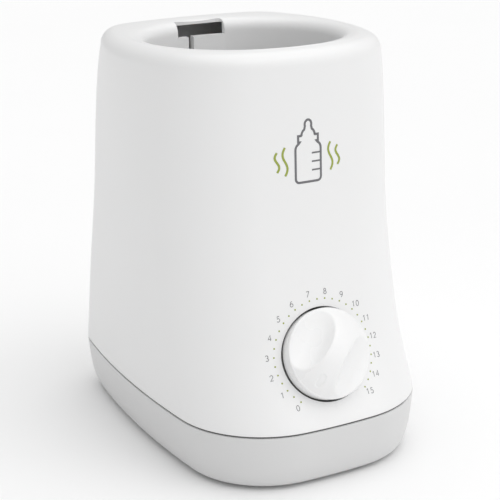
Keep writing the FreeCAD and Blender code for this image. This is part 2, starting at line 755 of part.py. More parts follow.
def baseShape():
    outer = baseSolid(0, groundGap, seamFoot)
    outer = outer.makeFillet(size("Dims.base_edge_radius"), topEdges(outer, groundGap))
    hollow = baseSolid(wall, baseFloor, seamFoot)
    shell = outer.cut(hollow)
    lipOuter = wall + size("Dims.lip_inset")
    lipInner = lipOuter + size("Dims.lip_thickness")
    ledge = seamRing(seamFoot - 3.5, seamFoot, wall / 2, lipInner)
    lip = seamRing(seamFoot - 0.5, lipTop, lipOuter, lipInner)
    inside = [ledge, lip]
    for x, y in caseScrewPlaces():
        inside.append(upright(size("Dims.case_post_radius"), baseFloor - 0.5, lipTop, x, y))
    for x, y in pumpPosts:
        inside.append(upright(size("Dims.grommet_radius"), baseFloor - 0.5, grommetFoot, x, y))
    for x, y in boardPosts:
        inside.append(upright(size("Dims.boss_radius"), baseFloor - 0.5, size("Dims.board_level"), x, y))
    ribHalf = halfWidth - size("Dims.tank_side_gap") - 8
    for y in (tankMiddle - 16, tankMiddle + 16):
        rib = Part.makeBox(2 * ribHalf, 2.4, size("Dims.tank_foot") - baseFloor + 0.5)
        rib.translate(FreeCAD.Vector(-ribHalf, y - 1.2, baseFloor - 0.5))
        inside.append(rib)
    seatBoss = glandCylinder(size("Dims.gland_flange") + 2.4, glandSeat - 4, halfDepth).common(outer)
    shell = shell.fuse(inside + [seatBoss])

    tools = [glandCylinder(size("Dims.gland_flange") + 0.3, glandSeat, halfDepth + 5)]
    tools.append(glandCylinder(size("Dims.gland_radius + Dims.screw_play"), glandSeat - 20, halfDepth))
    headLevel = size("Dims.case_head_level")
    for x, y in caseScrewPlaces():
        tools.append(upright(size("Dims.case_head_radius") + 0.4, 0, headLevel, x, y))
        tools.append(upright(size("Dims.case_screw_radius") + 0.3, 0, lipTop + 1, x, y))
    for x, y in pumpPosts:
        tools.append(upright(size("Dims.screw_radius + Dims.screw_play"), baseFloor - 0.6, 40, x, y))
    for x, y in boardPosts:
        tools.append(upright(size("Dims.screw_radius + Dims.screw_play"), baseFloor - 0.6, 40, x, y))
    for x, y in feetPlaces():
        tools.append(upright(size("Dims.foot_radius") + 0.15, 0, groundGap + size("Dims.foot_sink"), x, y))
    count = int(size("Dims.vent_count"))
    for index in range(count):
        slot = Part.makeBox(size("Dims.vent_length"), size("Dims.vent_width"), wall + 3)
        y = (index - (count - 1) / 2) * size("Dims.vent_pitch")
        slot.translate(FreeCAD.Vector(-size("Dims.vent_length") / 2 - 4, y - 8 - size("Dims.vent_width") / 2, 0))
        tools.append(slot)
    return shell.cut(tools)


solid("base_shell", baseShape())


def feetShape():
    feet = []
    for x, y in feetPlaces():
        foot = upright(size("Dims.foot_radius"), 0, groundGap + size("Dims.foot_sink"), x, y)
        feet.append(foot.makeFillet(0.6, topEdges(foot, 0)))
    return Part.makeCompound(feet)


solid("rubber_feet", feetShape())

frontX = "Dims.case_front_x"
backX = "Dims.case_back_x"
screws(
    "case_screws",
    [("-" + frontX, "-Dims.case_front_y", "Dims.case_head_level - 0.02"),
     (frontX, "-Dims.case_front_y", "Dims.case_head_level - 0.02"),
     ("-" + backX, "Dims.case_back_y", "Dims.case_head_level - 0.02"),
     (backX, "Dims.case_back_y", "Dims.case_head_level - 0.02")],
    "Dims.case_head_radius", "2.4", "Dims.case_screw_radius",
    "Dims.seam_height + Dims.case_boss_rise - 8 - Dims.case_head_level", downward=False)

# ---- warming chamber ---------------------------------------------------------------------

linerTop = "(Dims.total_height - Dims.collar_depth - Dims.seal_thickness)"
linerDepth = "(%s - Dims.chamber_floor)" % linerTop
linerUnder = "(Dims.chamber_floor - Dims.liner_wall)"
screwAcross = "Dims.liner_screw_circle * cos(Dims.liner_screw_angle)"
screwAlong = "Dims.liner_screw_circle * sin(Dims.liner_screw_angle)"
earPlaces = [
    ("%s %s" % (x, screwAcross), "Dims.chamber_y %s %s" % (y, screwAlong)) for x in "-+" for y in "-+"
]
heaterOut = ("Dims.heater_x + Dims.heater_port", "Dims.heater_y")
drain = ("Dims.drain_x", "Dims.drain_y")
heaterTop = "(%s - Dims.heater_drop)" % linerUnder
heaterEars = [
    ("Dims.heater_x %s (Dims.heater_length + Dims.ear_length) / 2" % side, "Dims.heater_y") for side in "-+"
]


def makeLiner():
    middle = ("0", "Dims.chamber_y")
    flangeFoot = linerTop + " - Dims.liner_wall"
    pieces = [
        cone("linerOuter", "Dims.chamber_foot_radius + Dims.liner_wall", "Dims.chamber_radius + Dims.liner_wall",
             linerDepth + " + Dims.liner_wall", middle + (linerUnder,)),
        cylinder("linerFlange", "Dims.chamber_radius + Dims.liner_flange_reach", "Dims.liner_wall",
                 middle + (flangeFoot,)),
    ]
    for index, where in enumerate(earPlaces):
        pieces.append(cylinder("linerEar%d" % index, "Dims.boss_radius + 1.2", "Dims.liner_wall",
                               where + (flangeFoot,)))
    for index, where in enumerate((heaterOut, drain)):
        pieces.append(cylinder("linerSpigot%d" % index, "Dims.spigot_radius", "Dims.spigot_length",
                               where + (linerUnder + " - Dims.spigot_length + 0.01",)))
    for index, where in enumerate(heaterEars):
        pieces.append(cylinder("linerBoss%d" % index, "Dims.boss_radius", "Dims.heater_drop - 0.1",
                               where + (heaterTop + " + 0.1",)))
    tools = [cone("linerHollow", "Dims.chamber_foot_radius", "Dims.chamber_radius", linerDepth,
                  middle + ("Dims.chamber_floor",))]
    for index, where in enumerate(earPlaces):
        tools.append(cylinder("linerEarHole%d" % index, "Dims.screw_radius + Dims.screw_play", "10",
                              where + (flangeFoot + " - 4",)))
    for index, where in enumerate((heaterOut, drain)):
        tools.append(cylinder("linerPort%d" % index, "Dims.spigot_bore", "30",
                              where + (linerUnder + " - 20",)))
    for index, where in enumerate(heaterEars):
        tools.append(cylinder("linerBossHole%d" % index, "Dims.screw_radius + Dims.screw_play", "7",
                              where + (heaterTop,)))
    keep(cut("linerTub", fuse("linerBlank", pieces), tools), "chamber_liner")


makeLiner()
disc("liner_seal", "Dims.chamber_radius + Dims.liner_wall", "Dims.seal_thickness - 0.02",
     ("0", "Dims.chamber_y", linerTop + " + 0.01"), "Dims.chamber_radius + 0.3")
screws("liner_screws", [where + (linerTop + " - Dims.liner_wall - 0.01",) for where in earPlaces],
       *smallScrew, "12", downward=False)


def makeFilter():
    """A lift-out strainer plate on a short skirt, with a grip in the middle."""
    body = newBody("filter_screen", ("0", "Dims.chamber_y", "Dims.chamber_floor + 0.05"))
    radius = "Dims.chamber_foot_radius - Dims.filter_gap"
    skirt = sketchOn(body, "filterSkirt", "XY_Plane")
    circleIn(skirt, radius)
    circleIn(skirt, radius + " - 2")
    pad(body, skirt, "Dims.filter_skirt + Dims.filter_plate")
    plate = sketchOn(body, "filterPlate", "XY_Plane", "Dims.filter_skirt")
    circleIn(plate, radius)
    pad(body, plate, "Dims.filter_plate")
    for name, circle, lift, height in (("Neck", "Dims.filter_grip * 0.6", "0", "Dims.filter_grip_rise"),
                                       ("Grip", "Dims.filter_grip", "Dims.filter_grip_rise - 3", "3")):
        sketch = sketchOn(body, "filter" + name, "XY_Plane",
                          "Dims.filter_skirt + Dims.filter_plate - 0.1 + " + lift)
        circleIn(sketch, circle)
        pad(body, sketch, height)
    for ring, count in enumerate((8, 16, 24, 30)):
        sketch = sketchOn(body, "filterHole%d" % ring, "XY_Plane", "Dims.filter_skirt + Dims.filter_plate + 0.1")
        circleIn(sketch, "Dims.filter_hole", "Dims.filter_grip + %s * (%s - Dims.filter_grip) / 4.6"
                 % (ring + 0.9, radius))
        doc.recompute()
        hole = pocket(body, sketch, "Dims.filter_plate + 0.2")
        polar(body, hole, str(count))


makeFilter()

# ---- knob and timer ----------------------------------------------------------------------

knobFoot = "-Dims.knob_sink"
boreRadius = "Dims.shaft_radius + Dims.shaft_play"


def inDial(item):
    return place(item, dialWhere, X, dialTurn)


def makeKnob():
    """A domed knob with two finger scoops that leave a ridge; it is hollow below."""
    top = "(Dims.knob_height + Dims.knob_sink)"
    rise = "(Dims.knob_height - Dims.knob_skirt)"
    dome = "((Dims.knob_radius ^ 2 + %s ^ 2) / (2 * %s))" % (rise, rise)
    blank = cylinder("knobBlank", "Dims.knob_radius", top, ("0", "0", knobFoot))
    sphere = doc.addObject("Part::Sphere", "knobDome")
    sphere.setExpression("Radius", dome)
    place(sphere, ("0", "0", "Dims.knob_height - " + dome))
    domed = doc.addObject("Part::MultiCommon", "knobDomed")
    domed.Shapes = [blank, sphere]
    reach = "(Dims.knob_radius * 3)"
    tools = []
    for index, side in enumerate(("-", "")):
        across = "%s(Dims.ridge_half + Dims.scoop_radius * 0.92)" % side
        tools.append(cylinder("knobScoop%d" % index, "Dims.scoop_radius", reach,
                              (across, reach + " / 2", "Dims.scoop_floor + Dims.scoop_radius"), X, "90"))
    hollow = cylinder("knobHollow", "Dims.knob_radius - 2.4", "Dims.knob_shell + 0.2",
                      ("0", "0", knobFoot + " - 0.2"))
    hub = cylinder("knobHub", "Dims.shaft_radius + 3.5", "Dims.knob_shell + 0.2", ("0", "0", knobFoot + " - 0.2"))
    tools.append(cut("knobCavity", hollow, [hub]))
    tools.append(cylinder("knobBore", boreRadius, "Dims.knob_sink + 9", ("0", "0", knobFoot)))
    shape = cut("knobCarved", domed, tools)
    turned = place(carry("knobTurned", [shape]), ("0", "0", "0"), Z, "Dims.dial_sweep / 2")
    keep(inDial(carry("knobPlaced", [turned])), "timer_knob")


def gearBody(label, teeth, lift, bore, phase):
    """A wheel of slim trapezoid teeth; phase turns its first tooth, in tooth pitches."""
    body = newBody(label)
    blank = sketchOn(body, label + "Disc", "XY_Plane", lift)
    root = "(Dims.gear_module * (%s / 2 - 1.1))" % teeth
    circleIn(blank, root)
    if bore is not None:
        circleIn(blank, bore)
    pad(body, blank, "Dims.gear_thickness")
    tooth = sketchOn(body, label + "Tooth", "XY_Plane", lift)
    module = size("Dims.gear_module")
    rootRadius = size(root) - 0.2
    tipRadius = module * (size(teeth) / 2 + 0.8)
    points = [
        FreeCAD.Vector(rootRadius, -0.72 * module, 0),
        FreeCAD.Vector(tipRadius, -0.3 * module, 0),
        FreeCAD.Vector(tipRadius, 0.3 * module, 0),
        FreeCAD.Vector(rootRadius, 0.72 * module, 0),
    ]
    for index in range(4):
        tooth.addGeometry(Part.LineSegment(points[index], points[(index + 1) % 4]))
    for index in range(4):
        tooth.addConstraint(Sketcher.Constraint("Coincident", index, 2, (index + 1) % 4, 1))
    tooth.addConstraint(Sketcher.Constraint("Symmetric", 0, 1, 2, 2, -1))
    tooth.addConstraint(Sketcher.Constraint("Symmetric", 0, 2, 2, 1, -1))
    bind(tooth, Sketcher.Constraint("DistanceY", 3, 2, 3, 1, 1.44 * module), "1.44 * Dims.gear_module")
    bind(tooth, Sketcher.Constraint("DistanceY", 1, 1, 1, 2, 0.6 * module), "0.6 * Dims.gear_module")
    bind(tooth, Sketcher.Constraint("DistanceX", -1, 1, 3, 2, rootRadius), root + " - 0.2")
    bind(tooth, Sketcher.Constraint("DistanceX", -1, 1, 1, 1, tipRadius),
         "Dims.gear_module * (%s / 2 + 0.8)" % teeth)
    doc.recompute()
    first = pad(body, tooth, "Dims.gear_thickness")
    polar(body, first, teeth)
    place(body, ("0", "0", "0"), Z, "360 * (%s) / %s" % (phase, teeth))
    return body


def settle(label, body, where=("0", "0", "0")):
    """Carry a body from the dial's frame to its place; the carrier becomes the sub-part."""
    subparts.remove(body)
    body.Label = label + "Local"
    local = place(carry(label + "Carrier", [body]), where)
    keep(inDial(carry(label + "Placed", [local])), label)


timerFront = "-(Dims.well_depth + Dims.well_floor + Dims.timer_gap)"
timerInside = "(%s - Dims.timer_wall)" % timerFront
timerBack = "(%s - Dims.timer_depth)" % timerFront
gearCentre = "(Dims.gear_module * (Dims.main_teeth + Dims.pinion_teeth) / 2)"
gearLift = timerInside + " - 5.4"


def timerScrewPlaces():
    return ["%sDims.timer_screw_circle" % side for side in ("-", "")]


def makeTimerCase():
    shell = cylinder("timerCan", "Dims.timer_radius", "Dims.timer_depth - Dims.timer_wall", ("0", "0", timerBack))
    tools = [
        cylinder("timerHollow", "Dims.timer_radius - Dims.timer_wall", "Dims.timer_depth",
                 ("0", "0", timerBack + " + Dims.timer_wall")),
        cylinder("timerBackHole", boreRadius, "10", ("0", "0", timerBack + " - 5")),
        cylinder("timerArborHole", "Dims.arbor_radius + Dims.shaft_play", "10",
                 (gearCentre, "0", timerBack + " - 5")),
    ]
    keep(inDial(cut("timerCanCut", shell, tools)), "timer_case")
    plate = cylinder("timerPlate", "Dims.timer_radius", "Dims.timer_wall", ("0", "0", timerInside))
    tools = [
        cylinder("timerShaftHole", boreRadius, "10", ("0", "0", timerInside + " - 4")),
        cylinder("timerArborSeat", "Dims.arbor_radius + Dims.shaft_play", "10",
                 (gearCentre, "0", timerInside + " - 4")),
    ]
    for index, across in enumerate(timerScrewPlaces()):
        tools.append(cylinder("timerPlateHole%d" % index, "Dims.screw_radius + Dims.screw_play", "10",
                              (across, "0", timerInside + " - 4")))
    keep(inDial(cut("timerPlateCut", plate, tools)), "timer_front_plate")


def makeTimerShaft():
    """The shaft from the case's back wall to inside the knob, with a flat for the knob's clip."""
    foot = "(%s + 0.3)" % timerBack
    stem = cylinder("shaftStem", "Dims.shaft_radius", "8.4 - " + foot, ("0", "0", foot))
    flat = box("shaftFlat", ("Dims.shaft_radius * 2", "Dims.shaft_radius", "9"),
               ("-Dims.shaft_radius", "Dims.shaft_radius * 0.6", "2"))
    keep(inDial(cut("shaftCut", stem, [flat])), "timer_shaft")
    clip = box("clipLeaf", ("Dims.shaft_radius * 1.2", "0.5", "5.6"),
               ("-Dims.shaft_radius * 0.6", "Dims.shaft_radius * 0.62", "2.4"))
    keep(inDial(carry("clipPlaced", [clip])), "knob_clip")


def springShape():
    """A flat spiral of half-circle coils round the shaft."""
    strip = size("Dims.spring_strip")
    step = size("Dims.spring_pitch") / 2
    inner = size("Dims.spring_inner")
    foot = size(timerBack + " + Dims.timer_wall + 1")
    height = size("Dims.spring_width")
    coils = []
    for half in range(int(2 * size("Dims.spring_turns"))):
        side = 1 if half % 2 == 0 else -1
        centre = FreeCAD.Vector(0 if half % 2 == 0 else step, 0, foot)
        radius = inner + half * step
        ring = Part.makeCylinder(radius + strip, height, centre, Z).cut(Part.makeCylinder(radius, height, centre, Z))
        reach = radius + strip + 1
        keepBox = Part.makeBox(2 * reach, reach, height, FreeCAD.Vector(
            centre.x - reach, 0 if side > 0 else -reach, foot))
        coils.append(ring.common(keepBox))
    return dialShape(coils[0].fuse(coils[1:]).removeSplitter())


def makeTimerWorks():
    main = gearBody("main_wheel", "Dims.main_teeth", gearLift, "Dims.shaft_radius", "0")
    settle("main_wheel", main)
    cam = dialDisc("timer_cam", "Dims.shaft_radius + 5", "1.6", gearLift + " + Dims.gear_thickness + 0.6",
                   "Dims.shaft_radius")
    notch = sketchOn(cam, "camNotch", "XY_Plane", gearLift + " + Dims.gear_thickness + 2.4")
    circleIn(notch, "1.5", "Dims.shaft_radius + 5")
    doc.recompute()
    pocket(cam, notch, "2.4")
    pinion = gearBody("governor_pinion", "Dims.pinion_teeth", gearLift, "Dims.arbor_radius", "0.5")
    settle("governor_pinion", pinion, (gearCentre, "0", "0"))
    arbor = cylinder("arborRod", "Dims.arbor_radius", "Dims.timer_depth - 0.6",
                     (gearCentre, "0", timerBack + " + 0.3"))
    wheel = cylinder("arborWheel", "Dims.governor_radius", "1", (gearCentre, "0", gearLift + " - 3"))
    spokes = []
    for index in range(5):
        angle = 72 * index
        spokes.append(cylinder("arborHole%d" % index, "1.1", "3",
                               (gearCentre + " + 3.2 * cos(%d)" % angle, "3.2 * sin(%d)" % angle,
                                gearLift + " - 4")))
    keep(inDial(cut("arborCut", fuse("arborBlank", [arbor, wheel]), spokes)), "governor_wheel")
    solid("mainspring", springShape())
    seat = timerBack + " + Dims.timer_wall"
    block = box("contactBlock", ("6", "Dims.contact_width", "Dims.contact_width"),
                ("-Dims.timer_radius + 4", "-Dims.contact_width / 2", seat))
    blade = box("contactBlade", ("0.4", "6", "8"),
                ("-Dims.timer_radius + 8.6", "-3", seat + " + Dims.contact_width - 0.5"))
    keep(inDial(fuse("contactPlaced", [block, blade])), "timer_contacts")


def makeTimerScrews():
    pieces = []
    for index, across in enumerate(timerScrewPlaces()):
        pieces.append(screw("timerScrew%d" % index, (across, "0", "-Dims.well_depth + 0.01"), *smallScrew, "6"))
    keep(inDial(carry("timerScrewPair", pieces)), "timer_screws")


makeKnob()
dialDisc("drip_washer", "Dims.knob_radius + Dims.knob_gap - 0.2", "Dims.washer_thickness",
         "-Dims.well_depth + 0.01", "Dims.knob_radius + Dims.knob_gap - Dims.washer_width")
makeTimerCase()
makeTimerShaft()
makeTimerWorks()
makeTimerScrews()

# ---- reservoir ---------------------------------------------------------------------------

tankHalf = "(Dims.half_width - Dims.tank_side_gap)"
tankY = "(Dims.tank_front + Dims.tank_back) / 2"
tankDepth = "(Dims.tank_back - Dims.tank_front)"
pumpXText = "(Dims.half_width - Dims.pump_side_gap)"
inletLevel = "Dims.pump_foot + Dims.pump_cover + Dims.spigot_radius + 0.6"


def roundedBlock(name, halfLength, depth, height, corner, foot, inset="0"):
    """An upright block with rounded corners, on the tank's middle."""
    width = "2 * %s - 2 * (%s)" % (halfLength, inset)
    deep = "%s - 2 * (%s)" % (depth, inset)
    radius = "(%s - %s)" % (corner, inset)
    across = "(%s / 2 - %s)" % ("(" + width + ")", radius)
    along = "(%s / 2 - %s)" % ("(" + deep + ")", radius)
    middle = "(" + tankY + ")"
    pieces = [
        box(name + "Wide", (width, "2 * " + along, height),
            ("-(%s) / 2" % width, middle + " - " + along, foot)),
        box(name + "Deep", ("2 * " + across, deep, height),
            ("-" + across, middle + " - (%s) / 2" % deep, foot)),
    ]
    for index, (x, y) in enumerate((("-", "-"), ("-", "+"), ("", "-"), ("", "+"))):
        pieces.append(cylinder("%sCorner%d" % (name, index), radius, height,
                               (x + across, middle + " " + y + " " + along, foot)))
    return fuse(name, pieces)


def makeTank():
    height = "(Dims.tank_top - Dims.tank_foot)"
    outer = roundedBlock("tankOuter", tankHalf, tankDepth, height, "Dims.tank_corner", "Dims.tank_foot")
    spigot = cylinder("tankSpigot", "Dims.spigot_radius", "Dims.spigot_length + 1",
                      (pumpXText, "Dims.tank_front + 1", inletLevel), X, "90")
    hollow = roundedBlock("tankHollow", tankHalf, tankDepth, height, "Dims.tank_corner",
                          "Dims.tank_foot + Dims.tank_wall", "Dims.tank_wall")
    port = cylinder("tankPort", "Dims.spigot_bore", "Dims.spigot_length + 10",
                    (pumpXText, "Dims.tank_front + 6", inletLevel), X, "90")
    keep(cut("tankCut", fuse("tankBlank", [outer, spigot]), [hollow, port]), "reservoir_tank")
    seal = roundedBlock("sealOuter", tankHalf, tankDepth, "Dims.lid_seal - 0.02", "Dims.tank_corner",
                        "Dims.tank_top + 0.01")
    inner = roundedBlock("sealInner", tankHalf, tankDepth, "5", "Dims.tank_corner", "Dims.tank_top - 1",
                         "Dims.tank_wall")
    keep(cut("sealCut", seal, [inner]), "reservoir_seal")
    lid = roundedBlock("lidPlate", tankHalf, tankDepth, "Dims.lid_thickness", "Dims.tank_corner",
                       "Dims.tank_top + Dims.lid_seal")
    spout = cylinder("lidSpigot", "Dims.spigot_radius", "Dims.spigot_length",
                     drain + ("Dims.tank_top + Dims.lid_seal + Dims.lid_thickness - 0.01",))
    bore = cylinder("lidPort", "Dims.spigot_bore", "20", drain + ("Dims.tank_top - 2",))
    vent = cylinder("lidVent", "1.2", "20", ("-Dims.drain_x", "Dims.drain_y", "Dims.tank_top - 2"))
    keep(cut("lidCut", fuse("lidBlank", [lid, spout]), [bore, vent]), "reservoir_lid")


makeTank()

# ---- pump --------------------------------------------------------------------------------

pumpWhere = (pumpXText, "Dims.pump_y")
pumpFloor = "(Dims.pump_foot + Dims.pump_cover)"
pumpTop = "(%s + Dims.pump_height)" % pumpFloor
bracketLevel = "(Dims.pump_foot - Dims.bracket_thickness - 0.2)"
outletLevel = pumpFloor + " + Dims.pump_height - Dims.pump_wall - Dims.spigot_bore - 0.4"
outletX = pumpXText + " - Dims.pump_radius - Dims.spigot_length"
bracketPlaces = [
    ("%s %s (Dims.bracket_length / 2 - Dims.bracket_inset)" % (pumpXText, x),
     "Dims.pump_y %s (Dims.bracket_width / 2 - Dims.bracket_inset)" % y) for x in "-+" for y in "-+"
]


def makePump():
    disc("pump_cover", "Dims.pump_radius", "Dims.pump_cover - 0.02", pumpWhere + ("Dims.pump_foot",))
    shell = cylinder("pumpShell", "Dims.pump_radius", "Dims.pump_height", pumpWhere + (pumpFloor,))
    inlet = cylinder("pumpInlet", "Dims.spigot_radius", "Dims.spigot_length + 3",
                     (pumpXText, "Dims.pump_y + Dims.pump_radius + Dims.spigot_length", inletLevel), X, "90")
    outlet = cylinder("pumpOutlet", "Dims.spigot_radius", "Dims.spigot_length + 3",
                      (outletX, "Dims.pump_y", outletLevel), Y, "90")
    tools = [
        cylinder("pumpRoom", "Dims.pump_radius - Dims.pump_wall", "Dims.pump_height - Dims.pump_wall",
                 pumpWhere + (pumpFloor,)),
        cylinder("pumpShaftHole", "Dims.motor_shaft_radius + Dims.shaft_play", "40", pumpWhere + (pumpFloor,)),
        cylinder("pumpInletBore", "Dims.spigot_bore", "Dims.spigot_length + 8",
                 (pumpXText, "Dims.pump_y + Dims.pump_radius + Dims.spigot_length", inletLevel), X, "90"),
        cylinder("pumpOutletBore", "Dims.spigot_bore", "Dims.spigot_length + 8",
                 (outletX, "Dims.pump_y", outletLevel), Y, "90"),
    ]
    keep(cut("pumpCut", fuse("pumpBlank", [shell, inlet, outlet]), tools), "pump_housing")
    disc("motor_plate", "Dims.pump_radius", "Dims.motor_plate - 0.02", pumpWhere + (pumpTop + " + 0.01",),
         "Dims.motor_shaft_radius + 3")
    can = cylinder("motorCan", "Dims.motor_radius", "Dims.motor_length",
                   pumpWhere + (pumpTop + " + Dims.motor_plate",))
    boss = cylinder("motorBoss", "4", "3", pumpWhere + (pumpTop + " + Dims.motor_plate + Dims.motor_length - 0.01",))
    hole = cylinder("motorBore", "Dims.motor_shaft_radius + Dims.shaft_play", "12",
                    pumpWhere + (pumpTop + " + Dims.motor_plate - 0.5",))
    keep(cut("motorCut", fuse("motorBlank", [can, boss]), [hole]), "pump_motor")
    shaftFoot = pumpFloor + " + Dims.impeller_gap"
    disc("motor_shaft", "Dims.motor_shaft_radius", "(%s + Dims.motor_plate + 11) - (%s)" % (pumpTop, shaftFoot),
         pumpWhere + (shaftFoot,))


def makeImpeller():
    body = newBody("impeller", pumpWhere + (pumpFloor + " + Dims.impeller_gap",))
    plate = sketchOn(body, "impellerPlate", "XY_Plane")
    circleIn(plate, "Dims.impeller_radius")
    circleIn(plate, "Dims.motor_shaft_radius")
    pad(body, plate, "1.4")
    hub = sketchOn(body, "impellerHub", "XY_Plane")
    circleIn(hub, "Dims.motor_shaft_radius + 2")
    circleIn(hub, "Dims.motor_shaft_radius")
    pad(body, hub, "Dims.pump_height - Dims.pump_wall - 2 * Dims.impeller_gap")
    blade = sketchOn(body, "impellerBlade", "YZ_Plane", "Dims.impeller_radius * 0.58")
    rectangleIn(blade, "1.2", "2 * (Dims.pump_height - Dims.pump_wall - 2 * Dims.impeller_gap)")
    doc.recompute()
    vane = pad(body, blade, "Dims.impeller_radius * 0.4")
    polar(body, vane, "Dims.impeller_blades")
    # each blade is drawn twice as tall as needed, centred on the plate's foot; this takes the lower half
    lowerHalf = sketchOn(body, "impellerTrim", "XY_Plane")
    circleIn(lowerHalf, "Dims.impeller_radius + 5")
    doc.recompute()
    pocket(body, lowerHalf, "Dims.pump_height")


def makeBracket():
    body = newBody("pump_bracket", pumpWhere + (bracketLevel,))
    plate = sketchOn(body, "bracketPlate", "XY_Plane")
    rectangleIn(plate, "Dims.bracket_length", "Dims.bracket_width")
    pad(body, plate, "Dims.bracket_thickness")
    holes = sketchOn(body, "bracketHoles", "XY_Plane", "Dims.bracket_thickness")
    for x in ("-", ""):
        for y in ("-", ""):
            circleIn(holes, "Dims.screw_radius + 0.4",
                     x + "(Dims.bracket_length / 2 - Dims.bracket_inset)",
                     y + "(Dims.bracket_width / 2 - Dims.bracket_inset)")
    doc.recompute()
    pocket(body, holes, "Dims.bracket_thickness + 1")
    grommets = []
    for index, where in enumerate(bracketPlaces):
        foot = (bracketLevel + " - Dims.grommet_height + 0.01",)
        ring = cylinder("grommet%d" % index, "Dims.grommet_radius", "Dims.grommet_height - 0.02", where + foot)
        hole = cylinder("grommetHole%d" % index, "Dims.screw_radius + 0.2", "20", where + ("0",))
        grommets.append(cut("grommetCut%d" % index, ring, [hole]))
    group("pump_grommets", grommets)
    level = bracketLevel + " + Dims.bracket_thickness + 0.01"
    screws("pump_screws", [where + (level,) for where in bracketPlaces], *smallScrew,
           "Dims.bracket_thickness + Dims.grommet_height + 3.2")


makePump()
makeImpeller()
makeBracket()

# ---- heater ------------------------------------------------------------------------------

heaterFoot = "(%s - Dims.heater_height)" % heaterTop
heaterIn = ("Dims.heater_x - Dims.heater_port", "Dims.heater_y")


def makeHeater():
    block = box("heaterBlockBox", ("Dims.heater_length", "Dims.heater_width", "Dims.heater_height"),
                ("Dims.heater_x - Dims.heater_length / 2", "Dims.heater_y - Dims.heater_width / 2", heaterFoot))
    ears = box("heaterEars", ("Dims.heater_length + 2 * Dims.ear_length", "2 * Dims.boss_radius", "Dims.ear_height"),
               ("Dims.heater_x - Dims.heater_length / 2 - Dims.ear_length", "Dims.heater_y - Dims.boss_radius",
                heaterTop + " - Dims.ear_height"))
    low = cylinder("heaterLowSpigot", "Dims.spigot_radius", "Dims.spigot_length",
                   heaterIn + (heaterFoot + " - Dims.spigot_length + 0.01",))
    high = cylinder("heaterHighSpigot", "Dims.spigot_radius", "(Dims.heater_drop - 1) / 2 - 0.4",
                    heaterOut + (heaterTop + " - 0.01",))
    tools = [
        cylinder("heaterLowBore", "Dims.spigot_bore", "Dims.spigot_length + Dims.heater_height / 2 + 2",
                 heaterIn + (heaterFoot + " - Dims.spigot_length",)),
        cylinder("heaterHighBore", "Dims.spigot_bore", "Dims.heater_height / 2 + 20",
                 heaterOut + (heaterTop + " - Dims.heater_height / 2 - 2",)),
        cylinder("heaterCross", "Dims.spigot_bore", "2 * Dims.heater_port",
                 ("Dims.heater_x - Dims.heater_port", "Dims.heater_y", heaterTop + " - Dims.heater_height / 2"),
                 Y, "90"),
    ]
    for index, where in enumerate(heaterEars):
        tools.append(cylinder("heaterEarHole%d" % index, "Dims.screw_radius + Dims.screw_play", "20",
                              where + (heaterTop + " - 10",)))
    keep(cut("heaterCut", fuse("heaterBlank", [block, ears, low, high]), tools), "heater_block")
    screws("heater_screws", [where + (heaterTop + " - Dims.ear_height - 0.01",) for where in heaterEars],
           *smallScrew, "Dims.ear_height + 5", downward=False)
    disc("thermostat", "Dims.thermostat_radius", "Dims.thermostat_height",
         ("Dims.heater_x + Dims.heater_port - 4", "Dims.heater_y", heaterFoot + " - Dims.thermostat_height - 0.01"))
    fuseY = "Dims.heater_y - Dims.heater_width / 2 - Dims.fuse_radius - 0.02"
    fuseZ = "(%s + Dims.heater_height / 2)" % heaterFoot
    keep(cylinder("fuseTube", "Dims.fuse_radius", "Dims.fuse_length",
                  ("Dims.heater_x - Dims.fuse_length / 2", fuseY, fuseZ), Y, "90"), "thermal_fuse")
    reach = "(2 * Dims.fuse_radius + Dims.strap_thickness)"
    front = "Dims.heater_y - Dims.heater_width / 2"
    left = "Dims.heater_x - Dims.strap_width / 2"
    outer = box("strapOuter", ("Dims.strap_width", reach + " - 0.02", reach + " + Dims.strap_thickness"),
                (left, front + " - " + reach, "%s - %s / 2 - Dims.strap_thickness / 2" % (fuseZ, reach)))
    wings = box("strapWings", ("Dims.strap_width", "Dims.strap_thickness - 0.02", reach + " + 7"),
                (left, front + " - Dims.strap_thickness", "%s - %s / 2 - 3.5" % (fuseZ, reach)))
    inner = box("strapInner", ("Dims.strap_width + 4", "2 * Dims.fuse_radius + 0.05", "2 * Dims.fuse_radius + 0.04"),
                (left + " - 2", front + " - 2 * Dims.fuse_radius - 0.04", fuseZ + " - Dims.fuse_radius - 0.02"))
    keep(cut("strapCut", fuse("strapBlank", [outer, wings]), [inner]), "fuse_strap")


makeHeater()

# ---- hoses -------------------------------------------------------------------------------

hoseInner = "(Dims.spigot_radius + Dims.hose_play)"
hoseOuter = "(%s + Dims.hose_wall)" % hoseInner


def straightHose(label, length, foot, axis=None, angle=None):
    disc(label, hoseOuter, length, foot, hoseInner, axis, angle)


straightHose("pump_inlet_hose", "Dims.tank_front - Dims.pump_y - Dims.pump_radius - 0.6",
             (pumpXText, "Dims.tank_front - 0.3", inletLevel), X, "90")
straightHose("heater_outlet_hose", "Dims.heater_drop - 0.6", heaterOut + (heaterTop + " + 0.3",))
drainFoot = "(Dims.tank_top + Dims.lid_seal + Dims.lid_thickness)"
straightHose("drain_hose", "%s - %s - 0.6" % (linerUnder, drainFoot), drain + (drainFoot + " + 0.3",))


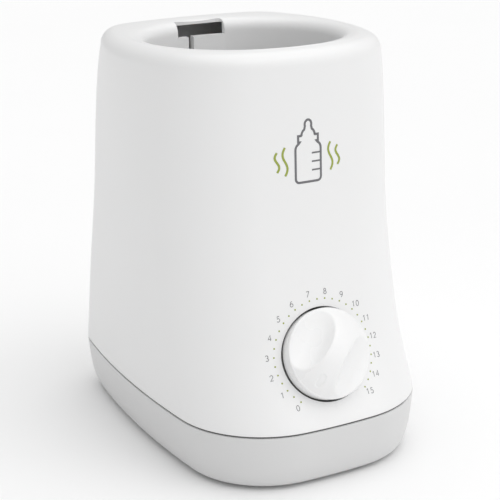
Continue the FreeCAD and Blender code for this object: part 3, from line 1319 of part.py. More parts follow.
def pathOf(points):
    """Straight runs joined by tangent arcs, each as large as its runs allow."""
    edges = []
    start = points[0]
    for before, corner, after in zip(points, points[1:], points[2:]):
        into = (corner - before).normalize()
        away = (after - corner).normalize()
        turn = into.getAngle(away)
        setback = 0.45 * min((corner - before).Length, (after - corner).Length)
        radius = setback / math.tan(turn / 2)
        first = corner - into * setback
        last = corner + away * setback
        inward = (away - into).normalize()
        middle = corner + inward * (radius / math.cos(turn / 2) - radius)
        edges.append(Part.LineSegment(start, first).toShape())
        edges.append(Part.Arc(first, middle, last).toShape())
        start = last
    edges.append(Part.LineSegment(start, points[-1]).toShape())
    return Part.Wire(edges)


def tubeAlong(points, radius):
    path = pathOf(points)
    direction = (points[1] - points[0]).normalize()
    ring = Part.Wire(Part.makeCircle(radius, points[0], direction))
    return path.makePipeShell([ring], True, False)


def pumpOutletHose():
    """From the pump's side, across below the heater block, then up onto its spigot."""
    heater = FreeCAD.Vector(size(heaterIn[0]), size(heaterIn[1]), size(heaterFoot))
    level = size(outletLevel)
    finish = heater - Z * 0.3
    start = FreeCAD.Vector(pumpX - size("Dims.pump_radius") - 0.3, pumpY, level)
    bend = FreeCAD.Vector(heater.x, pumpY, level)
    climb = FreeCAD.Vector(heater.x, heater.y, (level + finish.z) / 2)
    points = [start, bend, climb, finish]
    return tubeAlong(points, size(hoseOuter)).cut(tubeAlong(points, size(hoseInner)))


solid("pump_outlet_hose", pumpOutletHose())

# ---- electrics ---------------------------------------------------------------------------

boardXText = "-(Dims.half_width - Dims.board_side_gap - Dims.board_width / 2)"
boardTop = "(Dims.board_level + Dims.board_thickness)"
boardPlaces = [
    ("%s %s (Dims.board_width / 2 - Dims.board_inset)" % (boardXText, x),
     "Dims.board_y %s (Dims.board_length / 2 - Dims.board_inset)" % y) for x in "-+" for y in "-+"
]


def makeBoard():
    body = newBody("control_board", (boardXText, "Dims.board_y", "Dims.board_level + 0.01"))
    plate = sketchOn(body, "boardPlate", "XY_Plane")
    rectangleIn(plate, "Dims.board_width", "Dims.board_length")
    pad(body, plate, "Dims.board_thickness - 0.02")
    holes = sketchOn(body, "boardHoles", "XY_Plane", "Dims.board_thickness")
    for x in ("-", ""):
        for y in ("-", ""):
            circleIn(holes, "Dims.screw_radius + Dims.screw_play",
                     x + "(Dims.board_width / 2 - Dims.board_inset)",
                     y + "(Dims.board_length / 2 - Dims.board_inset)")
    doc.recompute()
    pocket(body, holes, "Dims.board_thickness + 1")
    screws("board_screws", [where + (boardTop + " + 0.01",) for where in boardPlaces], *smallScrew, "7")
    coreCorner = (boardXText + " - 14", "Dims.board_y - 16", boardTop)
    coilCorner = (boardXText + " - 10", "Dims.board_y - 19", boardTop + " + 3.5")
    core = box("transformerCore", ("Dims.core_length", "Dims.core_width", "Dims.core_length"), coreCorner)
    coil = box("transformerCoil", ("Dims.coil_length", "Dims.coil_width", "Dims.coil_height"), coilCorner)
    keep(fuse("transformerBlank", [core, coil]), "transformer")
    disc("capacitor", "Dims.capacitor_radius", "Dims.capacitor_height",
         (boardXText + " - 8", "Dims.board_y + 14", boardTop))
    relayCorner = (boardXText + " + 1", "Dims.board_y + 5", boardTop)
    keep(box("relayBox", ("Dims.relay_width", "Dims.relay_length", "Dims.relay_height"), relayCorner), "relay")


def makeGland():
    """A flanged cord bush through the base's back wall, held by a nut from inside."""
    seat = "(Dims.half_depth - Dims.gland_seat)"
    level = "Dims.gland_height"
    flange = cylinder("glandFlange", "Dims.gland_flange", "Dims.gland_flange_thickness",
                      ("0", seat + " + Dims.gland_flange_thickness + 0.01", level), X, "90")
    sleeve = cylinder("glandSleeve", "Dims.gland_radius", "Dims.gland_length",
                      ("0", seat + " + Dims.gland_flange_thickness + 0.01", level), X, "90")
    bore = cylinder("glandBore", "Dims.gland_bore", "60", ("0", seat + " + 30", level), X, "90")
    keep(cut("glandCut", fuse("glandBlank", [flange, sleeve]), [bore]), "cord_gland")
    nutFoot = seat + " - 4.02"
    nut = cylinder("nutDisc", "Dims.gland_radius + 2.2", "Dims.gland_nut", ("0", nutFoot, level), X, "90")
    hole = cylinder("nutHole", "Dims.gland_radius + Dims.screw_play", "30", ("0", seat + " + 10", level), X, "90")
    keep(cut("nutCut", nut, [hole]), "gland_nut")


def makeTerminals():
    floor = "Dims.ground_gap + Dims.wall"
    block = box("terminalBlockBox", ("Dims.terminal_length", "Dims.terminal_width", "Dims.terminal_height"),
                ("10", "Dims.tank_back + 1.2", floor + " + 0.01"))
    tools = [
        cylinder("terminalWell%d" % index, "1.6", "6",
                 ("14 + %d * Dims.terminal_pitch" % index, "Dims.tank_back + 1.2 + Dims.terminal_width / 2",
                  floor + " + 6"))
        for index in range(3)
    ]
    keep(cut("terminalCut", block, tools), "terminal_block")


makeBoard()
makeGland()
makeTerminals()

# ---- check and write ---------------------------------------------------------------------

doc.recompute()
failed = []
for item in doc.Objects:
    if "Invalid" in item.State or "Error" in item.State:
        failed.append(item.Label + " did not compute")
for item in subparts:
    shape = item.Shape
    if shape.isNull() or not shape.isValid() or not shape.Solids:
        failed.append(item.Label + " has no valid solid")
if failed:
    raise RuntimeError("; ".join(failed))

os.makedirs("parts", exist_ok=True)
for item in subparts:
    item.Shape.exportStep(os.path.join("parts", item.Label + ".step"))
print("wrote", len(subparts), "parts")
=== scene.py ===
import json
import math
import bmesh
import bpy
import numpy as np
from mathutils import Matrix, Quaternion, Vector
from mathutils.bvhtree import BVHTree


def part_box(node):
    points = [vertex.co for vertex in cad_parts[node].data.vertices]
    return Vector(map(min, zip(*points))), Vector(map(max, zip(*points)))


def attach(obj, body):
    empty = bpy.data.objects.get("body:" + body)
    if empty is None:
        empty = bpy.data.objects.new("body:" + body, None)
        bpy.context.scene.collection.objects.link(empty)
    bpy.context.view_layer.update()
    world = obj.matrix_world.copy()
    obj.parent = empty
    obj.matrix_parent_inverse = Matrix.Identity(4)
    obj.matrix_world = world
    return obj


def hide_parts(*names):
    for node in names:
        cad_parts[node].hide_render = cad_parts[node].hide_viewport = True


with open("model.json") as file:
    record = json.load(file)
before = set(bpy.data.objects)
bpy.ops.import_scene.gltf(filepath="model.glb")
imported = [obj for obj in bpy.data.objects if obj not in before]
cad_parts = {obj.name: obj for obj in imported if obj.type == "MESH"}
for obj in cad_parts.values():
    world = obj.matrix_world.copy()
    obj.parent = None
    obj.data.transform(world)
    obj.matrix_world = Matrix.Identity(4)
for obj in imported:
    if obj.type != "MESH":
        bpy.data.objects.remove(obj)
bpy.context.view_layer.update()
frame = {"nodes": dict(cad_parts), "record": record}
mm = 0.001


def makeMesh(name, points, faces, body, material, smoothAngle=35):
    mesh = bpy.data.meshes.new(name)
    mesh.from_pydata([tuple(point) for point in points], [], faces)
    piece = bpy.data.objects.new(name, mesh)
    bpy.context.scene.collection.objects.link(piece)
    tidyMesh(piece)
    finishPiece(piece, body, material, smoothAngle)
    return piece


def tidyMesh(piece):
    work = bmesh.new()
    work.from_mesh(piece.data)
    bmesh.ops.remove_doubles(work, verts=work.verts, dist=1e-7)
    bmesh.ops.recalc_face_normals(work, faces=work.faces)
    work.to_mesh(piece.data)
    work.free()


def finishPiece(piece, body, material, smoothAngle=35):
    piece.data.materials.clear()
    piece.data.materials.append(material)
    piece.data.shade_smooth()
    piece.data.set_sharp_from_angle(angle=math.radians(smoothAngle))
    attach(piece, body)


def ringFaces(ringCount, ringSize, closedLoop=False):
    # quads between neighbouring rings, and back to the first ring when the loop is closed
    faces = []
    for ring in range(ringCount if closedLoop else ringCount - 1):
        low = ring * ringSize
        high = ((ring + 1) % ringCount) * ringSize
        for step in range(ringSize):
            after = (step + 1) % ringSize
            faces.append((low + step, low + after, high + after, high + step))
    return faces


def cutAway(piece, tools, operation="DIFFERENCE"):
    # one exact boolean per tool, applied at once
    for tool in tools:
        modifier = piece.modifiers.new("cut", "BOOLEAN")
        modifier.operation = operation
        modifier.solver = "EXACT"
        modifier.object = tool
        graph = bpy.context.evaluated_depsgraph_get()
        result = bpy.data.meshes.new_from_object(piece.evaluated_get(graph))
        piece.modifiers.clear()
        old = piece.data
        piece.data = result
        bpy.data.meshes.remove(old)
        bpy.data.objects.remove(tool)


def toolFrom(points, faces):
    mesh = bpy.data.meshes.new("tool")
    mesh.from_pydata([tuple(point) for point in points], [], faces)
    tool = bpy.data.objects.new("tool", mesh)
    bpy.context.scene.collection.objects.link(tool)
    tidyMesh(tool)
    return tool


def prism(outline, low, high):
    # an upright prism on a plan outline
    count = len(outline)
    points = [(x, y, low) for x, y in outline] + [(x, y, high) for x, y in outline]
    faces = [tuple(range(count)), tuple(range(count, 2 * count))]
    faces += [(i, (i + 1) % count, count + (i + 1) % count, count + i) for i in range(count)]
    return toolFrom(points, faces)


def circleOutline(x, y, radius, count=48):
    return [(x + radius * math.cos(2 * math.pi * i / count), y + radius * math.sin(2 * math.pi * i / count))
            for i in range(count)]


def smoothTrack(places, values):
    # a monotone cubic through the stations, as a function of height
    places = np.array(places, float)
    values = np.array(values, float)
    step = np.diff(places)
    slope = np.diff(values) / step
    lean = np.zeros(len(values))
    for i in range(1, len(values) - 1):
        if slope[i - 1] * slope[i] > 0:
            a = 2 * step[i] + step[i - 1]
            b = step[i] + 2 * step[i - 1]
            lean[i] = (a + b) / (a / slope[i - 1] + b / slope[i])
    lean[0] = slope[0] * 1.5 - lean[1] * 0.5
    lean[-1] = slope[-1] * 1.5 - lean[-2] * 0.5

    def at(place):
        i = int(np.clip(np.searchsorted(places, place) - 1, 0, len(step) - 1))
        t = (place - places[i]) / step[i]
        h00 = 2 * t ** 3 - 3 * t ** 2 + 1
        h10 = t ** 3 - 2 * t ** 2 + t
        h01 = -2 * t ** 3 + 3 * t ** 2
        h11 = t ** 3 - t ** 2
        return h00 * values[i] + h10 * step[i] * lean[i] + h01 * values[i + 1] + h11 * step[i] * lean[i + 1]

    return at


print("helpers ready")


def newGroup(name, inputs, outputs):
    group = bpy.data.node_groups.new(name, "ShaderNodeTree")
    for label, kind, default in inputs:
        socket = group.interface.new_socket(label, in_out="INPUT", socket_type=kind)
        if default is not None:
            socket.default_value = default
    for label, kind in outputs:
        group.interface.new_socket(label, in_out="OUTPUT", socket_type=kind)
    start = group.nodes.new("NodeGroupInput")
    end = group.nodes.new("NodeGroupOutput")
    return group, start, end


def mathNode(tree, operation, first, second=None, clamp=False):
    node = tree.nodes.new("ShaderNodeMath")
    node.operation = operation
    node.use_clamp = clamp
    for index, value in enumerate((first, second)):
        if value is None:
            continue
        if isinstance(value, (int, float)):
            node.inputs[index].default_value = value
        else:
            tree.links.new(value, node.inputs[index])
    return node.outputs[0]


def mixColour(tree, factor, first, second):
    node = tree.nodes.new("ShaderNodeMix")
    node.data_type = "RGBA"
    for index, value in ((0, factor), (6, first), (7, second)):
        if isinstance(value, (int, float, tuple)):
            node.inputs[index].default_value = value
        else:
            tree.links.new(value, node.inputs[index])
    return node.outputs[2]


def noiseNode(tree, scale, detail=4, roughness=0.5, stretch=(1, 1, 1)):
    place = tree.nodes.new("ShaderNodeTexCoord")
    mapping = tree.nodes.new("ShaderNodeMapping")
    mapping.inputs["Scale"].default_value = stretch
    tree.links.new(place.outputs["Object"], mapping.inputs["Vector"])
    noise = tree.nodes.new("ShaderNodeTexNoise")
    tree.links.new(mapping.outputs["Vector"], noise.inputs["Vector"])
    noise.inputs["Detail"].default_value = detail
    noise.inputs["Roughness"].default_value = roughness
    if isinstance(scale, (int, float)):
        noise.inputs["Scale"].default_value = scale
    else:
        tree.links.new(scale, noise.inputs["Scale"])
    return noise.outputs["Fac"]


def buildMouldGrain():
    # fine spark-eroded texture of a plastic mould, as a height and a roughness
    group, start, end = newGroup(
        "mouldGrain",
        [("Grain Scale", "NodeSocketFloat", 2600.0), ("Roughness", "NodeSocketFloat", 0.4),
         ("Roughness Spread", "NodeSocketFloat", 0.05), ("Depth", "NodeSocketFloat", 0.4)],
        [("Height", "NodeSocketFloat"), ("Roughness", "NodeSocketFloat")])
    fine = noiseNode(group, start.outputs["Grain Scale"], 3, 0.55)
    broad = noiseNode(group, 34.0, 3, 0.5)
    height = mathNode(group, "MULTIPLY", fine, start.outputs["Depth"])
    spread = mathNode(group, "SUBTRACT", broad, 0.5)
    spread = mathNode(group, "MULTIPLY", spread, start.outputs["Roughness Spread"])
    spread = mathNode(group, "MULTIPLY", spread, 2.0)
    rough = mathNode(group, "ADD", spread, start.outputs["Roughness"], clamp=True)
    group.links.new(height, end.inputs["Height"])
    group.links.new(rough, end.inputs["Roughness"])
    return group


def buildEdgeTone():
    # a mask of convex edges, for handling marks and wear
    group, start, end = newGroup(
        "edgeTone",
        [("Softness", "NodeSocketFloat", 0.06), ("Amount", "NodeSocketFloat", 1.0)],
        [("Mask", "NodeSocketFloat")])
    shape = group.nodes.new("ShaderNodeNewGeometry")
    above = mathNode(group, "SUBTRACT", shape.outputs["Pointiness"], 0.5)
    scaled = mathNode(group, "DIVIDE", above, start.outputs["Softness"], clamp=True)
    broken = noiseNode(group, 900.0, 4, 0.6)
    worn = mathNode(group, "MULTIPLY", scaled, broken)
    result = mathNode(group, "MULTIPLY", worn, start.outputs["Amount"], clamp=True)
    group.links.new(result, end.inputs["Mask"])
    return group


def buildDustFilm():
    # faint settled dust on faces that look up
    group, start, end = newGroup(
        "dustFilm",
        [("Amount", "NodeSocketFloat", 0.2), ("Patch Scale", "NodeSocketFloat", 60.0)],
        [("Mask", "NodeSocketFloat")])
    shape = group.nodes.new("ShaderNodeNewGeometry")
    parts = group.nodes.new("ShaderNodeSeparateXYZ")
    group.links.new(shape.outputs["Normal"], parts.inputs[0])
    upward = mathNode(group, "MULTIPLY", parts.outputs["Z"], parts.outputs["Z"], clamp=True)
    patch = noiseNode(group, start.outputs["Patch Scale"], 5, 0.6)
    mask = mathNode(group, "MULTIPLY", upward, patch)
    mask = mathNode(group, "MULTIPLY", mask, start.outputs["Amount"], clamp=True)
    group.links.new(mask, end.inputs["Mask"])
    return group


def buildBrushing():
    # drawn lines of rolled or turned metal
    group, start, end = newGroup(
        "brushing",
        [("Line Scale", "NodeSocketFloat", 900.0), ("Roughness", "NodeSocketFloat", 0.35),
         ("Depth", "NodeSocketFloat", 0.3)],
        [("Height", "NodeSocketFloat"), ("Roughness", "NodeSocketFloat")])
    lines = noiseNode(group, start.outputs["Line Scale"], 3, 0.6, (1, 1, 0.04))
    height = mathNode(group, "MULTIPLY", lines, start.outputs["Depth"])
    spread = mathNode(group, "MULTIPLY", mathNode(group, "SUBTRACT", lines, 0.5), 0.3)
    rough = mathNode(group, "ADD", spread, start.outputs["Roughness"], clamp=True)
    group.links.new(height, end.inputs["Height"])
    group.links.new(rough, end.inputs["Roughness"])
    return group


mouldGrain = buildMouldGrain()
edgeTone = buildEdgeTone()
dustFilm = buildDustFilm()
brushing = buildBrushing()


def placeGroup(material, group, values):
    node = material.node_tree.nodes.new("ShaderNodeGroup")
    node.node_tree = group
    for label, value in values.items():
        node.inputs[label].default_value = value
    return node


def newMaterial(name):
    material = bpy.data.materials.new(name)
    material.use_nodes = True
    return material, material.node_tree, material.node_tree.nodes["Principled BSDF"]


def addBump(material, height, distance, strength=0.5):
    tree = material.node_tree
    bump = tree.nodes.new("ShaderNodeBump")
    bump.inputs["Strength"].default_value = strength
    bump.inputs["Distance"].default_value = distance
    tree.links.new(height, bump.inputs["Height"])
    tree.links.new(bump.outputs["Normal"], tree.nodes["Principled BSDF"].inputs["Normal"])


def plasticFinish(name, colour, roughness, tone, grainDepth=0.4, coat=0.0, subsurface=0.0, spread=0.05,
                  grainScale=2600.0, dust=0.12):
    # moulded plastic: fine grain, slow colour drift, duller edges and a little dust
    material, tree, shader = newMaterial(name)
    grain = placeGroup(material, mouldGrain, {"Roughness": roughness, "Roughness Spread": spread,
                                              "Depth": grainDepth, "Grain Scale": grainScale})
    edges = placeGroup(material, edgeTone, {"Amount": 0.6})
    film = placeGroup(material, dustFilm, {"Amount": dust})
    drift = noiseNode(tree, 9.0, 2, 0.5)
    base = mixColour(tree, drift, colour, tone)
    worn = mixColour(tree, edges.outputs["Mask"], base, tuple(0.94 * c for c in tone[:3]) + (1,))
    dusty = mixColour(tree, film.outputs["Mask"], worn, tuple(0.93 * c + 0.03 for c in colour[:3]) + (1,))
    tree.links.new(dusty, shader.inputs["Base Color"])
    tree.links.new(grain.outputs["Roughness"], shader.inputs["Roughness"])
    addBump(material, grain.outputs["Height"], 0.00004)
    shader.inputs["IOR"].default_value = 1.48
    shader.inputs["Coat Weight"].default_value = coat
    shader.inputs["Coat Roughness"].default_value = 0.3
    shader.inputs["Subsurface Weight"].default_value = subsurface
    shader.inputs["Subsurface Scale"].default_value = 0.002
    shader.inputs["Subsurface Radius"].default_value = (1.0, 0.9, 0.8)
    return material


def metalFinish(name, colour, roughness, lineScale=900.0, depth=0.3):
    material, tree, shader = newMaterial(name)
    lines = placeGroup(material, brushing, {"Roughness": roughness, "Line Scale": lineScale, "Depth": depth})
    edges = placeGroup(material, edgeTone, {"Amount": 0.8})
    stain = noiseNode(tree, 120.0, 4, 0.6)
    base = mixColour(tree, stain, colour, tuple(0.82 * c for c in colour[:3]) + (1,))
    lighter = tuple(min(1.0, 1.15 * c) for c in colour[:3]) + (1,)
    bright = mixColour(tree, edges.outputs["Mask"], base, lighter)
    tree.links.new(bright, shader.inputs["Base Color"])
    tree.links.new(lines.outputs["Roughness"], shader.inputs["Roughness"])
    shader.inputs["Metallic"].default_value = 1.0
    addBump(material, lines.outputs["Height"], 0.00003)
    return material


def grey(value, tint=(1, 1, 1)):
    return (value * tint[0], value * tint[1], value * tint[2], 1)


finishes = {
    "white_shell": plasticFinish("satinWhite", grey(0.86), 0.34, grey(0.84), 0.35, 0.12, 0.04),
    # base_white is the shell's white plastic made darker: painted shade on the base
    "base_white": plasticFinish("satinWhiteShadedBase", grey(0.70), 0.38, grey(0.68), 0.35, 0.08, 0.04),
    "knob_white": plasticFinish("satinKnobWhite", grey(0.88), 0.28, grey(0.87), 0.25, 0.2, 0.04),
    # liner_white is the shell's white plastic made darker: painted shade inside the chamber
    "liner_white": plasticFinish("chamberWhiteShaded", grey(0.70), 0.36, grey(0.67), 0.3, 0.05, 0.03),
    "filter_white": plasticFinish("strainerGrey", grey(0.62), 0.4, grey(0.58), 0.4),
    # dark_seal is a real dark gasket and drip washer, and also painted shadow filling the seam gap and the
    # gap round the dial
    "dark_seal": plasticFinish("sealGreyAndGapShadow", grey(0.15), 0.7, grey(0.12), 0.6, grainScale=1800.0),
    "foot_rubber": plasticFinish("footRubber", grey(0.05), 0.75, grey(0.04), 0.8, grainScale=1500.0),
    "silicone": plasticFinish("hoseSilicone", grey(0.6, (1, 1, 0.96)), 0.45, grey(0.55), 0.3, 0.0, 0.3),
    "steel": metalFinish("platedSteel", grey(0.58, (1, 1, 1.02)), 0.32),
    "zinc": metalFinish("pressedZinc", grey(0.6, (1, 1.01, 1.03)), 0.42, 500.0),
    "brass": metalFinish("stampedBrass", (0.72, 0.5, 0.2, 1), 0.33),
    "aluminium": metalFinish("castAluminium", grey(0.68), 0.5, 300.0, 0.6),
    "natural_nylon": plasticFinish("naturalNylon", grey(0.7, (1, 0.97, 0.88)), 0.5,
                                   grey(0.64, (1, 0.96, 0.86))),
    "black_plastic": plasticFinish("mouldedBlack", grey(0.02), 0.45, grey(0.025)),
    "tank_plastic": plasticFinish("milkyTank", grey(0.66, (0.97, 1, 1.02)), 0.4, grey(0.6), 0.3, 0.0, 0.3),
    "board_green": plasticFinish("boardGreen", (0.02, 0.13, 0.05, 1), 0.35, (0.015, 0.1, 0.04, 1), 0.2, 0.3),
    "gland_grey": plasticFinish("glandGrey", grey(0.5), 0.5, grey(0.46)),
}

slotOf = {entry["node"]: entry["material_slot"] for entry in frame["record"]["subparts"]}
for nodeName, node in frame["nodes"].items():
    node.data.materials.clear()
    node.data.materials.append(finishes[slotOf[nodeName]])
print("finishes ready")


housing = {
    "waist": (0.07175, 0.0003, 0.0782, 0.0874),  # height, side draw-in, front reach, back reach
    "chest": (0.13325, 0.0014, 0.0688, 0.0733),
    "rim": (0.0019, 0.0682, 0.0674),  # side draw-in, front reach, back reach
    "lowArcs": (0.255, 0.522, 0.210, 0.048, 0.029),  # front, side, back, front corner, back corner
    "topArcs": (0.115, 0.101, 0.177, 0.042, 0.0247),
    "wall": 0.0026,
    "seamEdge": 0.0005,
    "rimOuterRound": 0.008,
    "rimInnerRound": 0.006,
    "rimThickness": 0.0022,
    "rimCrown": 0.0003,
    "chamberRadius": 0.0485,
    "chamberY": -0.005,
    "collarDepth": 0.028,
    "collarWall": 0.0028,
    "collarBevel": 0.0003,  # at the collar's foot
    "wallRows": 60,
}

housingLow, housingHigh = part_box("upper_housing")
seamTop = housingLow[2]
rimTop = housingHigh[2]
halfWidth = housingHigh[0]
halfDepth = housingHigh[1]
chamberCentre = (0.0, housing["chamberY"])


def crossing(first, firstRadius, second, secondRadius):
    # the crossing of two circles that lies further towards the front-to-back ends
    gap = second - first
    apart = np.hypot(*gap)
    along = (firstRadius ** 2 - secondRadius ** 2 + apart ** 2) / (2 * apart)
    offset = math.sqrt(firstRadius ** 2 - along ** 2)
    unit = gap / apart
    normal = np.array([-unit[1], unit[0]])
    options = [first + unit * along + normal * offset, first + unit * along - normal * offset]
    return max(options, key=lambda point: point[0])


def arcPoints(centre, radius, start, end, count):
    first = math.atan2(start[1] - centre[1], start[0] - centre[0])
    last = math.atan2(end[1] - centre[1], end[0] - centre[0])
    turn = (last - first + math.pi) % (2 * math.pi) - math.pi
    angles = first + turn * np.linspace(0, 1, count, endpoint=False)
    return np.column_stack([centre[0] + radius * np.cos(angles), centre[1] + radius * np.sin(angles)])


def planOutline(sideReach, frontReach, backReach, arcs, inset=0.0):
    # tangent arcs: half the front, a corner, a side, a corner and half the back, then mirrored
    frontArc, sideArc, backArc, frontCorner, backCorner = arcs
    frontCentre = np.array([0, frontArc - frontReach])
    sideCentre = np.array([sideReach - sideArc, 0])
    backCentre = np.array([0, backReach - backArc])
    nearCentre = crossing(frontCentre, frontArc - frontCorner, sideCentre, sideArc - frontCorner)
    farCentre = crossing(backCentre, backArc - backCorner, sideCentre, sideArc - backCorner)

    def reach(centre, towards, radius):
        step = towards - centre
        return centre + step / np.hypot(*step) * (radius - inset)

    first = reach(frontCentre, nearCentre, frontArc)
    second = reach(sideCentre, nearCentre, sideArc)
    third = reach(sideCentre, farCentre, sideArc)
    fourth = reach(backCentre, farCentre, backArc)
    frontMiddle = np.array([0, -frontReach + inset])
    backMiddle = np.array([0, backReach - inset])
    right = np.concatenate([
        arcPoints(frontCentre, frontArc - inset, frontMiddle, first, 14),
        arcPoints(nearCentre, frontCorner - inset, first, second, 30),
        arcPoints(sideCentre, sideArc - inset, second, third, 26),
        arcPoints(farCentre, backCorner - inset, third, fourth, 24),
        arcPoints(backCentre, backArc - inset, fourth, backMiddle, 14),
        [backMiddle],
    ])
    left = right[-2:0:-1] * np.array([-1, 1])
    return np.concatenate([right, left])


stations = [seamTop, housing["waist"][0], housing["chest"][0], rimTop]
sideInsets = [0, housing["waist"][1], housing["chest"][1], housing["rim"][0]]
sideTrack = smoothTrack(stations, [halfWidth - inset for inset in sideInsets])
frontTrack = smoothTrack(stations, [halfDepth, housing["waist"][2], housing["chest"][2], housing["rim"][1]])
backTrack = smoothTrack(stations, [halfDepth, housing["waist"][3], housing["chest"][3], housing["rim"][2]])


def housingPlan(height, inset=0.0):
    share = (height - seamTop) / (rimTop - seamTop)
    arcs = [low + (top - low) * share for low, top in zip(housing["lowArcs"], housing["topArcs"])]
    return planOutline(sideTrack(height), frontTrack(height), backTrack(height), arcs, inset)


def raised(plan, height):
    return np.column_stack([plan, np.full(len(plan), height)])


dial = {
    "height": 0.061,
    "reach": 0.0816,
    "lean": 24.0,
    "wellRadius": 0.0228,
    "wellDepth": 0.0022,
    "shaftHole": 0.005,
}
dialCentre = Vector((0, -dial["reach"], dial["height"]))
dialTurn = Matrix.Rotation(math.radians(90 - dial["lean"]), 4, "X")
dialPlace = Matrix.Translation(dialCentre) @ dialTurn

notch = {
    "width": 0.027,
    "reach": 0.003,
    "drop": 0.008,
    "corner": 0.0026,
    "plateDrop": 0.020,
    "slitWidth": 0.003,
    "slitDrop": 0.007,
    "slitShift": 0.006,  # from the middle of the notch
}


def outerRings(shoulder):
    outerRound = housing["rimOuterRound"]
    edge = housing["seamEdge"]
    rings = [raised(housingPlan(seamTop, edge), seamTop),
             raised(housingPlan(seamTop, edge * 0.3), seamTop + edge * 0.3)]
    for height in np.linspace(seamTop + edge, shoulder, housing["wallRows"]):
        rings.append(raised(housingPlan(height), height))
    for angle in np.radians(np.linspace(10, 90, 9)):
        inset = outerRound * (1 - math.cos(angle))
        height = shoulder + outerRound * math.sin(angle)
        rings.append(raised(housingPlan(shoulder, inset), height))
    return rings


def rimRings(outerPlan, circle):
    # from the rim's outer rounding over its crown and down its inner rounding
    innerRound = housing["rimInnerRound"]
    radius = housing["chamberRadius"]
    innerPlan = circle * (radius + innerRound) + chamberCentre
    rings = []
    for share in np.linspace(0, 1, 8)[1:]:
        crown = housing["rimCrown"] * 4 * share * (1 - share)
        rings.append(raised(outerPlan + (innerPlan - outerPlan) * share, rimTop + crown))
    for angle in np.radians(np.linspace(12, 90, 8)):
        plan = circle * (radius + innerRound * (1 - math.sin(angle))) + chamberCentre
        rings.append(raised(plan, rimTop - innerRound * (1 - math.cos(angle))))
    return rings


def collarRings(circle, under):
    radius = housing["chamberRadius"]
    outside = radius + housing["collarWall"]
    collarFoot = rimTop - housing["collarDepth"]
    bevel = housing["collarBevel"]
    rings = []
    for height in np.linspace(rimTop - housing["rimInnerRound"] - 0.001, collarFoot + bevel, 12):
        rings.append(raised(circle * radius + chamberCentre, height))
    rings.append(raised(circle * (radius + bevel) + chamberCentre, collarFoot))
    rings.append(raised(circle * (outside - bevel) + chamberCentre, collarFoot))
    for height in np.linspace(collarFoot + bevel, under, 6):
        rings.append(raised(circle * outside + chamberCentre, height))
    return rings


def housingRings():
    wall = housing["wall"]
    outerRound = housing["rimOuterRound"]
    shoulder = rimTop - outerRound
    under = rimTop - housing["rimThickness"]
    outerPlan = housingPlan(shoulder, outerRound)
    bearing = np.arctan2(outerPlan[:, 1] - chamberCentre[1], outerPlan[:, 0] - chamberCentre[0])
    circle = np.column_stack([np.cos(bearing), np.sin(bearing)])
    rings = outerRings(shoulder) + rimRings(outerPlan, circle) + collarRings(circle, under)
    rings.append(raised(housingPlan(shoulder, wall + outerRound / 2), under))
    for height in np.linspace(shoulder - 0.002, seamTop + 0.002, 14):
        rings.append(raised(housingPlan(height, wall), height))
    rings.append(raised(housingPlan(seamTop, wall), seamTop))
    return rings


def notchOutline(side, near, far, half, corner, shift=0.0):
    # plan outline of a notch tool; its trailing far corner is rounded
    points = [(-half, near), (half, near)]
    if corner:
        points += [(half - corner + corner * math.cos(a), far - corner + corner * math.sin(a))
                   for a in np.linspace(0, math.pi / 2, 9)]
    else:
        points.append((half, far))
    points.append((-half, far))
    return [(side * (x - shift), chamberCentre[1] + side * y) for x, y in points]


def buildHousing():
    rings = housingRings()
    points = np.concatenate(rings)
    shell = makeMesh("housingShell", points, ringFaces(len(rings), len(rings[0]), True), "case",
                     finishes["white_shell"])
    radius = housing["chamberRadius"]
    half = notch["width"] / 2
    plateNear = math.sqrt(radius ** 2 - half ** 2)
    notchFoot = rimTop - notch["drop"]
    plates = []
    cuts = []
    for side in (-1, 1):
        plate = prism(notchOutline(side, plateNear, radius + 0.001, half, 0), notchFoot - notch["plateDrop"],
                      notchFoot + 0.0002)
        plates.append(plate)
        mouth = notchOutline(side, plateNear - 0.006, radius + notch["reach"], half, notch["corner"])
        cuts.append(prism(mouth, notchFoot, rimTop + 0.002))
        slit = notchOutline(side, plateNear - 0.001, radius + 0.006, notch["slitWidth"] / 2, 0,
                            notch["slitShift"])
        cuts.append(prism(slit, notchFoot - notch["slitDrop"], notchFoot + 0.0004))
    cutAway(shell, plates, "UNION")
    cutAway(shell, cuts)
    well = prism(circleOutline(0, 0, dial["wellRadius"], 160), -dial["wellDepth"], 0.01)
    hole = prism(circleOutline(0, 0, dial["shaftHole"], 48), -0.02, 0.01)
    for tool in (well, hole):
        tool.data.transform(dialPlace)
    cutAway(shell, [well, hole])
    finishPiece(shell, "case", finishes["white_shell"], 30)
    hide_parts("upper_housing")
    return shell


housingShell = buildHousing()
print("housing ready")

base = {
    "taper": 0.0055,
    "middleShare": 0.4,  # the taper's middle station, as a share of the wall's height
    "middleTaper": 0.35,
    "edgeRound": 0.003,
    "wall": 0.0026,
    "ledge": (0.0035, 0.0061),  # depth below the seam, inset of its inner side
    "lip": (0.0020, 0.0045, 0.0061),  # rise above the housing's edge, outer inset, inner inset
    "ventSize": (0.046, 0.003),
    "ventPitch": 0.007,
    "ventCount": 7,
    "ventCentre": (-0.004, -0.008),
    "screwWell": (0.0038, 0.015),  # radius, depth from the ground
    "screwHole": 0.0021,
    "screwPost": 0.0052,
    "glandWell": (0.0085, 0.0032),  # radius, depth from the back
    "glandBoss": 0.0106,
    "glandBore": 0.00545,
    "posts": (("pump_screws", "pump_grommets", 0.0046), ("board_screws", "control_board", 0.0036)),
    "postHole": 0.00155,
    "postHoleTop": 0.04,
    "footHole": 0.00815,
    "sunk": 0.0005,  # how far a post starts inside the floor
    "wallRows": 26,
}


